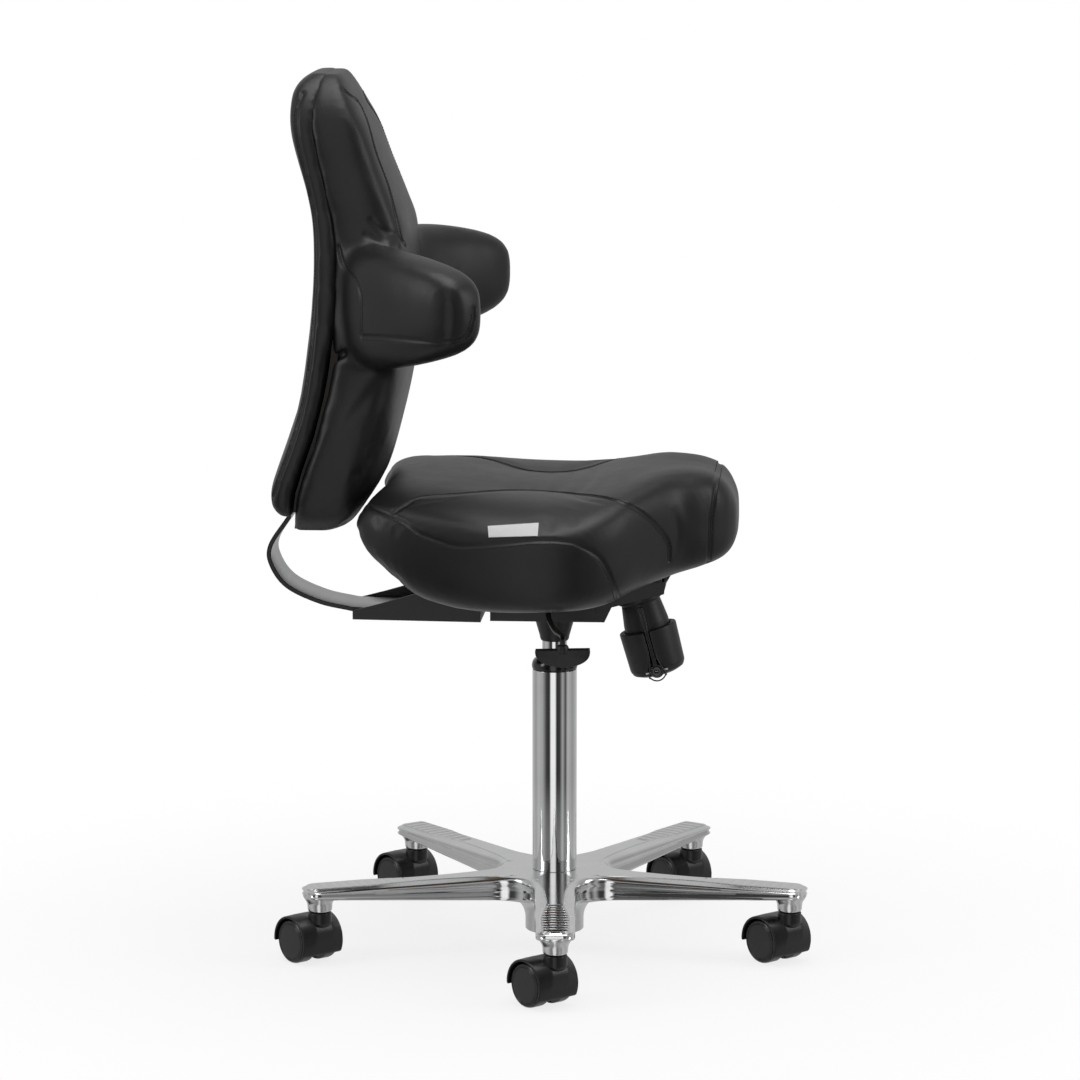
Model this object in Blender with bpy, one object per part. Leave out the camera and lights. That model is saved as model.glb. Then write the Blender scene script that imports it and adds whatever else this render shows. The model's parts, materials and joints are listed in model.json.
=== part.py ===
"""Saddle-seat swivel work chair with a T-shaped back, on a five-star base with twin-wheel casters.

Metres, +Z up, +X is forward, +Y is the sitter's left. The origin is under the middle of the
chair's box, on the floor. Everything hangs on the empty "assembly", whose Z axis is the
column's axis.
"""
import math

import bmesh
import bpy
from mathutils import Vector

# Place of the column's axis in the part's frame.
COLUMN_X = 0.0135
COLUMN_Y = 0.0045

# Clearances.
FIT = 0.0003          # gap left between pieces that touch
RUN = 0.0005          # radial clearance of a piece that turns or slides

# Casters.
WHEEL_RADIUS = 0.025
WHEEL_WIDTH = 0.0185
WHEEL_GAP = 0.007               # half of the space between the two wheels
CASTER_TRAIL = 0.022            # wheel axle behind the stem
CASTER_HEADING = math.radians(133.0)   # direction of the trail
HOOD_ROOM = 0.0011              # hood's clearance round the wheels
HOOD_WALL = 0.0039
HOOD_REACH = WHEEL_RADIUS + HOOD_ROOM + HOOD_WALL   # outer radius about the axle
HOOD_OVERHANG = 0.003           # hood beyond the wheels' outer faces
HOOD_HALF_WIDTH = WHEEL_GAP + WHEEL_WIDTH + HOOD_OVERHANG
HOOD_FRONT = math.radians(-28.0)
HOOD_REAR = math.radians(184.0)
WEB_ROOM = 0.0012               # between the hood's middle plate and each wheel
HOOD_WEB_HALF = WHEEL_GAP - WEB_ROOM
WEB_INSET = 0.0015              # middle plate inside the hood's outer face
HOOD_NECK_RADIUS = 0.0130
STEM_RADIUS = 0.0055
STEM_BITE = 0.018               # stem held inside the hood
AXLE_RADIUS = 0.0030
AXLE_BITE = 0.013               # axle held inside each wheel

# Five-star base.
LEG_COUNT = 5
LEG_YAW = math.radians(-86.0)   # direction of the first leg
CASTER_CIRCLE = 0.276           # radius of the circle of caster sockets
TIP_OVERHANG = 0.018            # leg beyond the socket's centre
TIP_CORNER = 0.013
SOCKET_RADIUS = 0.0133
SOCKET_FLARE = 0.019
SOCKET_CLEARANCE = 0.011        # socket above the top of the wheels
SOCKET_BOTTOM = 2 * WHEEL_RADIUS + SOCKET_CLEARANCE
SOCKET_LENGTH = 0.029
SOCKET_ROOF = 0.005             # metal left above the socket's bore
SOCKET_BITE = 0.004             # socket sunk into the leg
LEG_TOP = SOCKET_BOTTOM + SOCKET_LENGTH
LEG_HALF_ROOT = 0.0245
LEG_HALF_TIP = 0.0215
LEG_DEPTH_ROOT = 0.029
LEG_DEPTH_TIP = 0.013
LEG_EDGE = 0.0035               # rounding of the top edges
WEB_FILLET = 0.035              # rounding between neighbouring legs
HUB_HEIGHT = 0.070
HUB_BOTTOM = LEG_TOP - HUB_HEIGHT
HUB_FILLET = 0.028              # rounding from the hub up to the legs

# Column and gas spring.
COLUMN_RADIUS = 0.025
COLUMN_WALL = 0.002
COLUMN_RISE = 0.230             # column above the base
COLUMN_TOP = LEG_TOP + COLUMN_RISE
COLUMN_FOOT = HUB_BOTTOM + 0.0025   # underside of the column's bottom plate
FOOT_PLATE = 0.0035
TAPER_TOP = COLUMN_RADIUS - 0.0007
TAPER_BOTTOM = TAPER_TOP - 0.0011
HUB_WALL = 0.0087
HUB_RADIUS = TAPER_TOP + HUB_WALL
COLLAR_HEIGHT = 0.0130
BUSH_LENGTH = 0.070
CYLINDER_RADIUS = 0.014
CYLINDER_WALL = 0.0025
CYLINDER_SHOWN = 0.032          # cylinder between the column's top and its own taper
CYLINDER_NECK = COLUMN_TOP + CYLINDER_SHOWN   # where the cylinder starts to taper
CYLINDER_TAPER = 0.046          # length of the taper
CYLINDER_TOP = CYLINDER_NECK + CYLINDER_TAPER
CYLINDER_TOP_RADIUS = CYLINDER_RADIUS - 0.0007
CYLINDER_END = 0.004            # thickness of the cylinder's bottom end
LIFT = 0.130
LIFT_SPARE = 0.018              # cylinder left round the piston at the highest seat
ROD_RADIUS = 0.005
ROD_TIP = 0.0036                # rod below its clip
CLIP_RADIUS = 0.0085
CLIP_THICK = 0.0017
CLIP_GROOVE = 0.001             # depth of the clip's groove in the rod
BEARING_RADIUS = 0.011
BEARING_HEIGHT = 0.0055
BUMP_RADIUS = 0.0125
BUMP_HEIGHT = 0.0127
SHOULDER_RADIUS = 0.008
SHOULDER_HEIGHT = 0.0029
PISTON_LENGTH = 0.012
PIN_RADIUS = 0.0030
PIN_RISE = 0.0055               # release pin above the cylinder
PIN_TOP = CYLINDER_TOP + PIN_RISE
PIN_TRAVEL = 0.003

# Mechanism.
SOCKET_CONE_BOTTOM = CYLINDER_NECK + 0.001
SOCKET_CONE_HEIGHT = 0.027
SOCKET_CONE_TIP = CYLINDER_RADIUS + 0.0022
SOCKET_CONE_RADIUS = SOCKET_CONE_TIP + 0.0078
SOCKET_BOSS_WALL = 0.006        # wall round the cylinder inside the housing
HOUSING_BOTTOM = SOCKET_CONE_BOTTOM + SOCKET_CONE_HEIGHT
HOUSING_BACK = -0.070
HOUSING_HALF_WIDTH = 0.036
HOUSING_WALL = 0.0025
AXLE_X = 0.035
AXLE_Z = HOUSING_BOTTOM + 0.024
TILT_AXLE_RADIUS = 0.005
TILT_AXLE_END = 0.004           # axle beyond the ears
FRAME_UNDERSIDE = HOUSING_BOTTOM + 0.0485
FRAME_PLATE = 0.003
FRAME_MARGIN = 0.009            # frame beyond the housing's sides
FRAME_HALF_WIDTH = HOUSING_HALF_WIDTH + FRAME_MARGIN
FRAME_BACK = -0.118
FRAME_FRONT = 0.122
EAR_WALL = 0.004
EAR_MARGIN = 0.008              # metal round the tilt axle
LUG_GAP = 0.0065                # half of the space between the two front lugs
LUG_WALL = 0.004
LUG_MARGIN = 0.005              # metal round the cross pin

# Tension knob, its screw and its crank. Lengths along the screw are measured down from KNOB_TOP.
KNOB_X = 0.1045
KNOB_TOP = HOUSING_BOTTOM - 0.011
KNOB_TILT = math.radians(15.0)
KNOB_RADIUS = 0.033
KNOB_FOOT_RADIUS = KNOB_RADIUS - 0.0018
KNOB_LENGTH = 0.0545
KNOB_WALL = 0.0062
KNOB_BORE = KNOB_RADIUS - KNOB_WALL
KNOB_FLOOR = 0.0385
SLEEVE_RISE = 0.037             # top of the sleeve above the knob's rim
SLEEVE_DROP = 0.020             # sleeve inside the knob
SLEEVE_RADIUS = KNOB_BORE - 0.0013
SLEEVE_NECK_RADIUS = SLEEVE_RADIUS - 0.004
SLEEVE_WALL = 0.0018
NOSE_HALF = SLEEVE_RADIUS + 0.0045   # half of the housing's nose over the sleeve
BOLT_RADIUS = 0.004
CROSS_PIN_RADIUS = 0.003
CROSS_PIN_RISE = 0.0533         # cross pin above the knob's rim
EYE_HOLE = CROSS_PIN_RADIUS + 0.001
EYE_WALL = 0.0035
EYE_ROOM = 0.0025               # between the bolt's eye and each lug
NUT_RADIUS = 0.0085
NUT_HEIGHT = 0.0065
SPRING_WIRE = 0.0017
SPRING_ROOM = 0.003             # between the spring and the sleeve's neck
SPRING_RADIUS = SLEEVE_NECK_RADIUS - SLEEVE_WALL - SPRING_WIRE - SPRING_ROOM
SPRING_TURNS = 4.5
CRANK_REACH = KNOB_RADIUS - 0.004   # crank arm's distance from the screw's axis
CRANK_RADIUS = 0.0026
CRANK_RISE = 0.0275             # top of the folded arm above the knob's rim
CRANK_PIVOT = 0.0465            # crank's pin below the knob's rim
CRANK_HEAD = (0.0165, 0.0062, 0.0115)
CRANK_PIN_RADIUS = 0.0014
CRANK_PIN_BITE = 0.0035         # crank's pin held in each side of its pocket

# Height lever.
LEVER_X = -0.004
LEVER_PIVOT_Y = -(HOUSING_HALF_WIDTH + 0.002)
LEVER_ROD = 0.003
LEVER_ROOM = 0.002              # between the rod and the sides of its slot
PADDLE_SIZE = (0.060, 2 * LEVER_ROD + 0.003, 0.021)
PADDLE_CENTRE = (0.020, -0.170, HOUSING_BOTTOM - 0.0145)
PADDLE_EDGE = 0.0015
KNUCKLE_WALL = 0.0035

# Back channel and bar.
CHANNEL_BACK = FRAME_BACK - 0.1055
CHANNEL_FRONT = HOUSING_BACK - 0.010
CHANNEL_RISE = 0.0015           # rear end of the channel above the housing's underside
CHANNEL_FLOOR = 0.006
CHANNEL_WALL = 0.0025
BAR_WIDTH = 0.070
BAR_THICK = 0.005
BAR_BOLT_X = FRAME_BACK - 0.032
BAR_BOLT_RADIUS = 0.004
BAR_BOLT_HEAD = 0.0075
SLIDE_LEAN = math.radians(11.0)  # forward lean of the back's slide
BAR_ENTRY = (CHANNEL_BACK - 0.070, FRAME_UNDERSIDE + 0.0775)   # where the bar enters the back
BAR_INSIDE = 0.119              # height of the bar inside the back

# Back. The tables below it give heights above the bar's entry and places forward of it.
BOARD_THICK = 0.008
BOARD_INSET = 0.010             # board's edge inside the cushions'
BACK_HEIGHT = 0.490
WING_REACH = 0.232              # half of the back's full width
WING_ROOT = 0.095               # where the wings start to curl forward
WING_CURL = 0.100               # how far the wings' ends come forward

# Seat. Its tables give heights above the frame's underside.
PAN_THICK = 0.010
PAN_BACK = -0.122
PAN_FRONT = 0.100
PAN_HALF_WIDTH = 0.115
PAN_CORNER = 0.045
PAN_ROOM = 0.004                # between the pan and the cushion's recess
SEAT_HALF_WIDTH = 0.226
SEAT_REAR_BOW = 0.019           # how far the rear corners stand behind the middle
SEAT_BOLT_RADIUS = 0.003
SEAT_BOLT_HEAD = 0.0055
SEAT_BOLT_X = (-0.100, 0.068)
SEAT_BOLT_Y = 0.030

MATERIALS = {
    "aluminium": ((0.62, 0.62, 0.62), 0.25, 1.0),
    "chrome": ((0.80, 0.80, 0.80), 0.08, 1.0),
    "steel": ((0.35, 0.35, 0.35), 0.40, 1.0),
    "black_steel": ((0.02, 0.02, 0.02), 0.45, 0.0),
    "nylon": ((0.015, 0.015, 0.015), 0.50, 0.0),
    "rubber": ((0.02, 0.02, 0.02), 0.80, 0.0),
    "leather": ((0.022, 0.022, 0.023), 0.42, 0.0),
    "plywood": ((0.35, 0.22, 0.12), 0.70, 0.0),
    "bronze": ((0.45, 0.30, 0.12), 0.40, 1.0),
}


def clear_scene():
    for item in list(bpy.data.objects):
        bpy.data.objects.remove(item, do_unlink=True)


def material(kind):
    found = bpy.data.materials.get(kind)
    if found:
        return found
    colour, rough, metal = MATERIALS[kind]
    made = bpy.data.materials.new(kind)
    made.use_nodes = True
    shader = made.node_tree.nodes["Principled BSDF"]
    shader.inputs["Base Color"].default_value = (*colour, 1.0)
    shader.inputs["Roughness"].default_value = rough
    shader.inputs["Metallic"].default_value = metal
    made.diffuse_color = (*colour, 1.0)
    return made


def empty(name, place, parent=None, turn=(0.0, 0.0, 0.0)):
    made = bpy.data.objects.new(name, None)
    bpy.context.scene.collection.objects.link(made)
    made.parent = parent
    made.location = place
    made.rotation_euler = turn
    return made


def solid(name, points, faces, kind, parent, offset=(0.0, 0.0, 0.0), sharp=35.0):
    """A closed mesh object; offset is the place of its own frame under its parent."""
    mesh = bpy.data.meshes.new(name)
    mesh.from_pydata([tuple(p) for p in points], [], faces)
    form = bmesh.new()
    form.from_mesh(mesh)
    bmesh.ops.recalc_face_normals(form, faces=form.faces)
    form.to_mesh(mesh)
    form.free()
    mesh.shade_smooth()
    mesh.set_sharp_from_angle(angle=math.radians(sharp))
    mesh.materials.append(material(kind))
    made = bpy.data.objects.new(name, mesh)
    bpy.context.scene.collection.objects.link(made)
    made.parent = parent
    made.location = offset
    return made


def loft(name, rings, kind, parent, loop=False, **more):
    """A skin over rings of equal length, closed by flat ends, or onto itself when loop is set."""
    count = len(rings[0])
    points = [p for ring in rings for p in ring]
    faces = []
    last = len(rings) if loop else len(rings) - 1
    for i in range(last):
        low = i * count
        high = ((i + 1) % len(rings)) * count
        for j in range(count):
            k = (j + 1) % count
            faces.append((low + j, low + k, high + k, high + j))
    if not loop:
        faces.append(tuple(reversed(range(count))))
        faces.append(tuple(range(len(points) - count, len(points))))
    return solid(name, points, faces, kind, parent, **more)


def turned(name, profile, kind, parent, steps=32, **more):
    """A body of revolution about Z. profile is (radius, height); it starts and ends on the
    axis, or else it is a closed outline clear of the axis."""
    points = []
    rows = []
    for radius, height in profile:
        if radius == 0.0:
            rows.append([len(points)] * steps)
            points.append((0.0, 0.0, height))
            continue
        rows.append([len(points) + j for j in range(steps)])
        for j in range(steps):
            turn = 2 * math.pi * j / steps
            points.append((radius * math.cos(turn), radius * math.sin(turn), height))
    pairs = list(zip(rows, rows[1:]))
    if profile[0][0] > 0.0:
        pairs.append((rows[-1], rows[0]))
    faces = []
    for low, high in pairs:
        for j in range(steps):
            k = (j + 1) % steps
            face = []
            for corner in (low[j], low[k], high[k], high[j]):
                if corner not in face:
                    face.append(corner)
            if len(face) > 2:
                faces.append(tuple(face))
    return solid(name, points, faces, kind, parent, **more)


def prism(name, outline, low, high, kind, parent, axis="Z", **more):
    """A flat outline pushed along an axis: (x, y) along Z, or (x, z) along Y."""
    if axis == "Z":
        rings = [[(a, b, level) for a, b in outline] for level in (low, high)]
    else:
        rings = [[(a, level, b) for a, b in outline] for level in (low, high)]
    return loft(name, rings, kind, parent, **more)


def box(name, low, high, kind, parent, **more):
    outline = [(low[0], low[1]), (high[0], low[1]), (high[0], high[1]), (low[0], high[1])]
    return prism(name, outline, low[2], high[2], kind, parent, **more)


def rod_between(name, start, end, radius, kind, parent, steps=16, **more):
    """A straight round bar between two points."""
    start = Vector(start)
    way = Vector(end) - start
    side = way.orthogonal().normalized()
    other = way.normalized().cross(side)
    rings = []
    for centre in (start, start + way):
        rings.append([
            centre + radius * (math.cos(2 * math.pi * j / steps) * side
                               + math.sin(2 * math.pi * j / steps) * other)
            for j in range(steps)])
    return loft(name, rings, kind, parent, **more)


def helper(item):
    item.hide_render = True
    item.display_type = "WIRE"
    return item


def boolean(target, other, operation):
    """Adds a Boolean to the target; the other object becomes a hidden helper."""
    helper(other)
    step = target.modifiers.new(operation.title() + "_" + other.name, "BOOLEAN")
    step.operation = operation
    step.solver = "EXACT"
    step.object = other
    return target


def cut(target, *others):
    for other in others:
        boolean(target, other, "DIFFERENCE")


def join(target, *others):
    for other in others:
        boolean(target, other, "UNION")


def gather(name, pieces):
    """One helper object holding several bodies that lie clear of each other."""
    form = bmesh.new()
    for piece in pieces:
        piece.data.transform(piece.matrix_basis)
        form.from_mesh(piece.data)
    mesh = bpy.data.meshes.new(name)
    form.to_mesh(mesh)
    form.free()
    made = bpy.data.objects.new(name, mesh)
    bpy.context.scene.collection.objects.link(made)
    made.parent = pieces[0].parent
    for piece in pieces:
        bpy.data.objects.remove(piece, do_unlink=True)
    return made


def spline(stations, at):
    """A smooth value at a place between stations of (place, value)."""
    places = [p for p, _ in stations]
    values = [v for _, v in stations]
    at = min(max(at, places[0]), places[-1])
    i = max(k for k in range(len(places) - 1) if places[k] <= at)
    slopes = []
    for k in (i, i + 1):
        before = max(k - 1, 0)
        after = min(k + 1, len(places) - 1)
        slopes.append((values[after] - values[before]) / (places[after] - places[before]))
    width = places[i + 1] - places[i]
    t = (at - places[i]) / width
    return ((2 * t**3 - 3 * t**2 + 1) * values[i] + (t**3 - 2 * t**2 + t) * width * slopes[0]
            + (3 * t**2 - 2 * t**3) * values[i + 1] + (t**3 - t**2) * width * slopes[1])


def curve_through(points, steps):
    """Points along a smooth curve through the given ones."""
    points = [Vector(p) for p in points]
    ends = [2 * points[0] - points[1]] + points + [2 * points[-1] - points[-2]]
    made = []
    for i in range(1, len(ends) - 2):
        a, b, c, d = ends[i - 1:i + 3]
        for k in range(steps):
            t = k / steps
            made.append(0.5 * (2 * b + (c - a) * t + (2 * a - 5 * b + 4 * c - d) * t**2
                               + (3 * b - a - 3 * c + d) * t**3))
    made.append(points[-1])
    return made


def offset_outline(outline, distance):
    """The outline moved inwards; its points run anticlockwise."""
    moved = []
    for i, point in enumerate(outline):
        before = Vector(point) - Vector(outline[i - 1])
        after = Vector(outline[(i + 1) % len(outline)]) - Vector(point)
        first = Vector((-before.y, before.x)).normalized()
        second = Vector((-after.y, after.x)).normalized()
        middle = (first + second) / (1 + first.dot(second))
        moved.append(tuple(Vector(point) + middle * distance))
    return moved


def arc(centre, radius, start, end, steps):
    """Points of an arc, angles in radians."""
    return [(centre[0] + radius * math.cos(start + (end - start) * k / steps),
             centre[1] + radius * math.sin(start + (end - start) * k / steps))
            for k in range(steps + 1)]


# ---------------------------------------------------------------- base

def star_outline():
    """Plan of the five legs, with rounded tips and filleted webs."""
    half_angle = math.pi / LEG_COUNT
    reach = CASTER_CIRCLE + TIP_OVERHANG
    taper = (LEG_HALF_ROOT - LEG_HALF_TIP) / reach
    stretch = math.hypot(1.0, taper)
    middle = (WEB_FILLET * stretch + LEG_HALF_ROOT) / (
        math.sin(half_angle) + taper * math.cos(half_angle))
    lean = math.atan(taper)
    outline = []
    for leg in range(LEG_COUNT):
        yaw = LEG_YAW + 2 * math.pi * leg / LEG_COUNT
        corner_x = reach - TIP_CORNER
        corner_y = LEG_HALF_TIP - TIP_CORNER
        tip = arc((corner_x, -corner_y), TIP_CORNER, -math.pi / 2, 0.0, 5)
        tip += arc((corner_x, corner_y), TIP_CORNER, 0.0, math.pi / 2, 5)
        centre = (middle * math.cos(half_angle), middle * math.sin(half_angle))
        web = arc(centre, WEB_FILLET, -math.pi / 2 - lean,
                  -math.pi / 2 - lean - (math.pi - 2 * half_angle - 2 * lean), 8)
        for x, y in tip + web:
            outline.append((x * math.cos(yaw) - y * math.sin(yaw),
                            x * math.sin(yaw) + y * math.cos(yaw)))
    return outline


def socket_centre(leg):
    yaw = LEG_YAW + 2 * math.pi * leg / LEG_COUNT
    return CASTER_CIRCLE * math.cos(yaw), CASTER_CIRCLE * math.sin(yaw)


def make_base(assembly):
    star = prism("base_star", star_outline(), HUB_BOTTOM, LEG_TOP, "aluminium", assembly)
    weights = star.data.attributes.new("bevel_weight_edge", "FLOAT", "EDGE")
    for edge in star.data.edges:
        tops = [star.data.vertices[v].co.z > LEG_TOP - FIT for v in edge.vertices]
        weights.data[edge.index].value = 1.0 if all(tops) else 0.0
    rounding = star.modifiers.new("Rounded_top", "BEVEL")
    rounding.limit_method = "WEIGHT"
    rounding.width = LEG_EDGE
    rounding.segments = 1

    root = LEG_TOP - LEG_DEPTH_ROOT
    tip = LEG_TOP - LEG_DEPTH_TIP
    fillet_centre = (HUB_RADIUS + HUB_FILLET, root - HUB_FILLET)
    reach = CASTER_CIRCLE + 2 * TIP_OVERHANG
    end = root + (tip - root) * (reach - fillet_centre[0]) / (CASTER_CIRCLE - fillet_centre[0])
    profile = arc(fillet_centre, HUB_FILLET, math.pi, math.pi / 2, 4)
    profile += [(reach, end), (reach, HUB_BOTTOM - 0.01), (HUB_RADIUS, HUB_BOTTOM - 0.01)]
    relief = turned("underside_relief", profile, "aluminium", assembly, steps=30)
    cut(star, relief)

    socket_top = tip + SOCKET_BITE
    flare = [(0.0, SOCKET_BOTTOM), (SOCKET_RADIUS, SOCKET_BOTTOM),
             (SOCKET_RADIUS + 0.0007, SOCKET_BOTTOM + 0.010), (SOCKET_FLARE, tip + 0.0015),
             (SOCKET_FLARE, socket_top), (0.0, socket_top)]
    bore_radius = STEM_RADIUS + FIT
    bore = [(0.0, SOCKET_BOTTOM - 0.01), (bore_radius, SOCKET_BOTTOM - 0.01),
            (bore_radius, LEG_TOP - SOCKET_ROOF), (0.0, LEG_TOP - SOCKET_ROOF)]
    hub_bore = [(0.0, HUB_BOTTOM - 0.01), (TAPER_BOTTOM + FIT, HUB_BOTTOM - 0.01),
                (TAPER_BOTTOM + FIT, COLUMN_FOOT), (TAPER_TOP + FIT, LEG_TOP),
                (TAPER_TOP + FIT, LEG_TOP + 0.01), (0.0, LEG_TOP + 0.01)]
    bosses = []
    bores = [turned("hub_bore", hub_bore, "aluminium", assembly, steps=32)]
    for leg in range(LEG_COUNT):
        place = (*socket_centre(leg), 0.0)
        bosses.append(turned("boss", flare, "aluminium", assembly, steps=16, offset=place))
        bores.append(turned("bore", bore, "aluminium", assembly, steps=12, offset=place))
    join(star, gather("socket_bosses", bosses))
    cut(star, gather("base_bores", bores))


# ---------------------------------------------------------------- casters

def hood_outline():
    """Side view of the hood's band about the axle: x forward to the stem, y up."""
    inner = WHEEL_RADIUS + HOOD_ROOM
    outer = arc((0.0, 0.0), HOOD_REACH, HOOD_FRONT, HOOD_REAR, 10)
    back = arc((0.0, 0.0), inner, HOOD_REAR, HOOD_FRONT, 10)
    return outer + back


def web_outline():
    """Side view of the plate between the wheels."""
    reach = HOOD_REACH - WEB_INSET
    upper = arc((0.0, 0.0), reach, math.radians(-40.0), math.radians(180.0), 10)
    return upper + [(-0.012, -0.007), (0.0, -0.009), (0.010, -0.016)]


def make_caster(number, assembly):
    """One twin-wheel caster: its parent empty stands on the swivel axis."""
    x, y = socket_centre(number - 1)
    name = "caster_%d" % number
    heading = CASTER_HEADING + math.pi
    swivel = empty(name + "_axis", (x, y, 0.0), assembly, (0.0, 0.0, heading))
    # In the swivel's frame the wheels trail along -X and the axle lies along Y.
    level = WHEEL_RADIUS
    wheel_place = (-CASTER_TRAIL, 0.0, level)
    neck_top = SOCKET_BOTTOM - RUN

    hood = prism(name + "_hood", hood_outline(), -HOOD_HALF_WIDTH, HOOD_HALF_WIDTH,
                 "nylon", swivel, axis="Y", offset=wheel_place)
    web = prism(name + "_web", web_outline(), -HOOD_WEB_HALF, HOOD_WEB_HALF,
                "nylon", swivel, axis="Y", offset=wheel_place)
    neck = turned(name + "_neck", [
        (0.0, level + 0.010), (HOOD_WEB_HALF, level + 0.010),
        (HOOD_NECK_RADIUS, level + 0.0205), (HOOD_NECK_RADIUS, neck_top - 0.0015),
        (HOOD_NECK_RADIUS - 0.0015, neck_top), (0.0, neck_top)],
        "nylon", swivel, steps=14)
    join(hood, web, neck)
    beyond = HOOD_HALF_WIDTH + 0.0115
    wheels = rod_between(name + "_wheel_room", (-CASTER_TRAIL, -beyond, level),
                         (-CASTER_TRAIL, -HOOD_WEB_HALF, level), WHEEL_RADIUS + 2 * RUN,
                         "nylon", swivel, steps=20)
    other = rod_between(name + "_wheel_room_2", (-CASTER_TRAIL, HOOD_WEB_HALF, level),
                        (-CASTER_TRAIL, beyond, level), WHEEL_RADIUS + 2 * RUN,
                        "nylon", swivel, steps=20)
    stem_low = neck_top - STEM_BITE
    stem_hole = rod_between(name + "_stem_hole", (0.0, 0.0, stem_low - FIT),
                            (0.0, 0.0, neck_top + 0.01), STEM_RADIUS + FIT, "nylon", swivel,
                            steps=12)
    axle_hole = rod_between(name + "_axle_hole", (-CASTER_TRAIL, -beyond, level),
                            (-CASTER_TRAIL, beyond, level), AXLE_RADIUS + FIT, "nylon", swivel,
                            steps=10)
    cut(hood, gather(name + "_wheel_rooms", [wheels, other]),
        gather(name + "_holes", [stem_hole, axle_hole]))

    stem_top = LEG_TOP - SOCKET_ROOF - RUN
    turned(name + "_stem", [
        (0.0, stem_low), (STEM_RADIUS, stem_low), (STEM_RADIUS, stem_top - 0.002),
        (STEM_RADIUS - 0.0015, stem_top), (0.0, stem_top)], "steel", swivel, steps=12)
    half = WHEEL_GAP + AXLE_BITE
    rod_between(name + "_axle", (-CASTER_TRAIL, -half, level), (-CASTER_TRAIL, half, level),
                AXLE_RADIUS, "steel", swivel, steps=10)

    bore = AXLE_RADIUS + FIT
    near = WHEEL_GAP
    far = WHEEL_GAP + WHEEL_WIDTH
    profile = [
        (0.0, near + AXLE_BITE + FIT), (bore, near + AXLE_BITE + FIT), (bore, near),
        (WHEEL_RADIUS, near),
        (WHEEL_RADIUS, far - 0.005), (WHEEL_RADIUS - 0.0030, far - 0.0012),
        (WHEEL_RADIUS - 0.008, far), (0.0, far)]
    for side, turn in (("left", -math.pi / 2), ("right", math.pi / 2)):
        wheel = turned("%s_wheel_%s" % (name, side), profile, "nylon", swivel, steps=20,
                       offset=wheel_place)
        wheel.rotation_euler = (turn, 0.0, 0.0)


# ---------------------------------------------------------------- column

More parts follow.
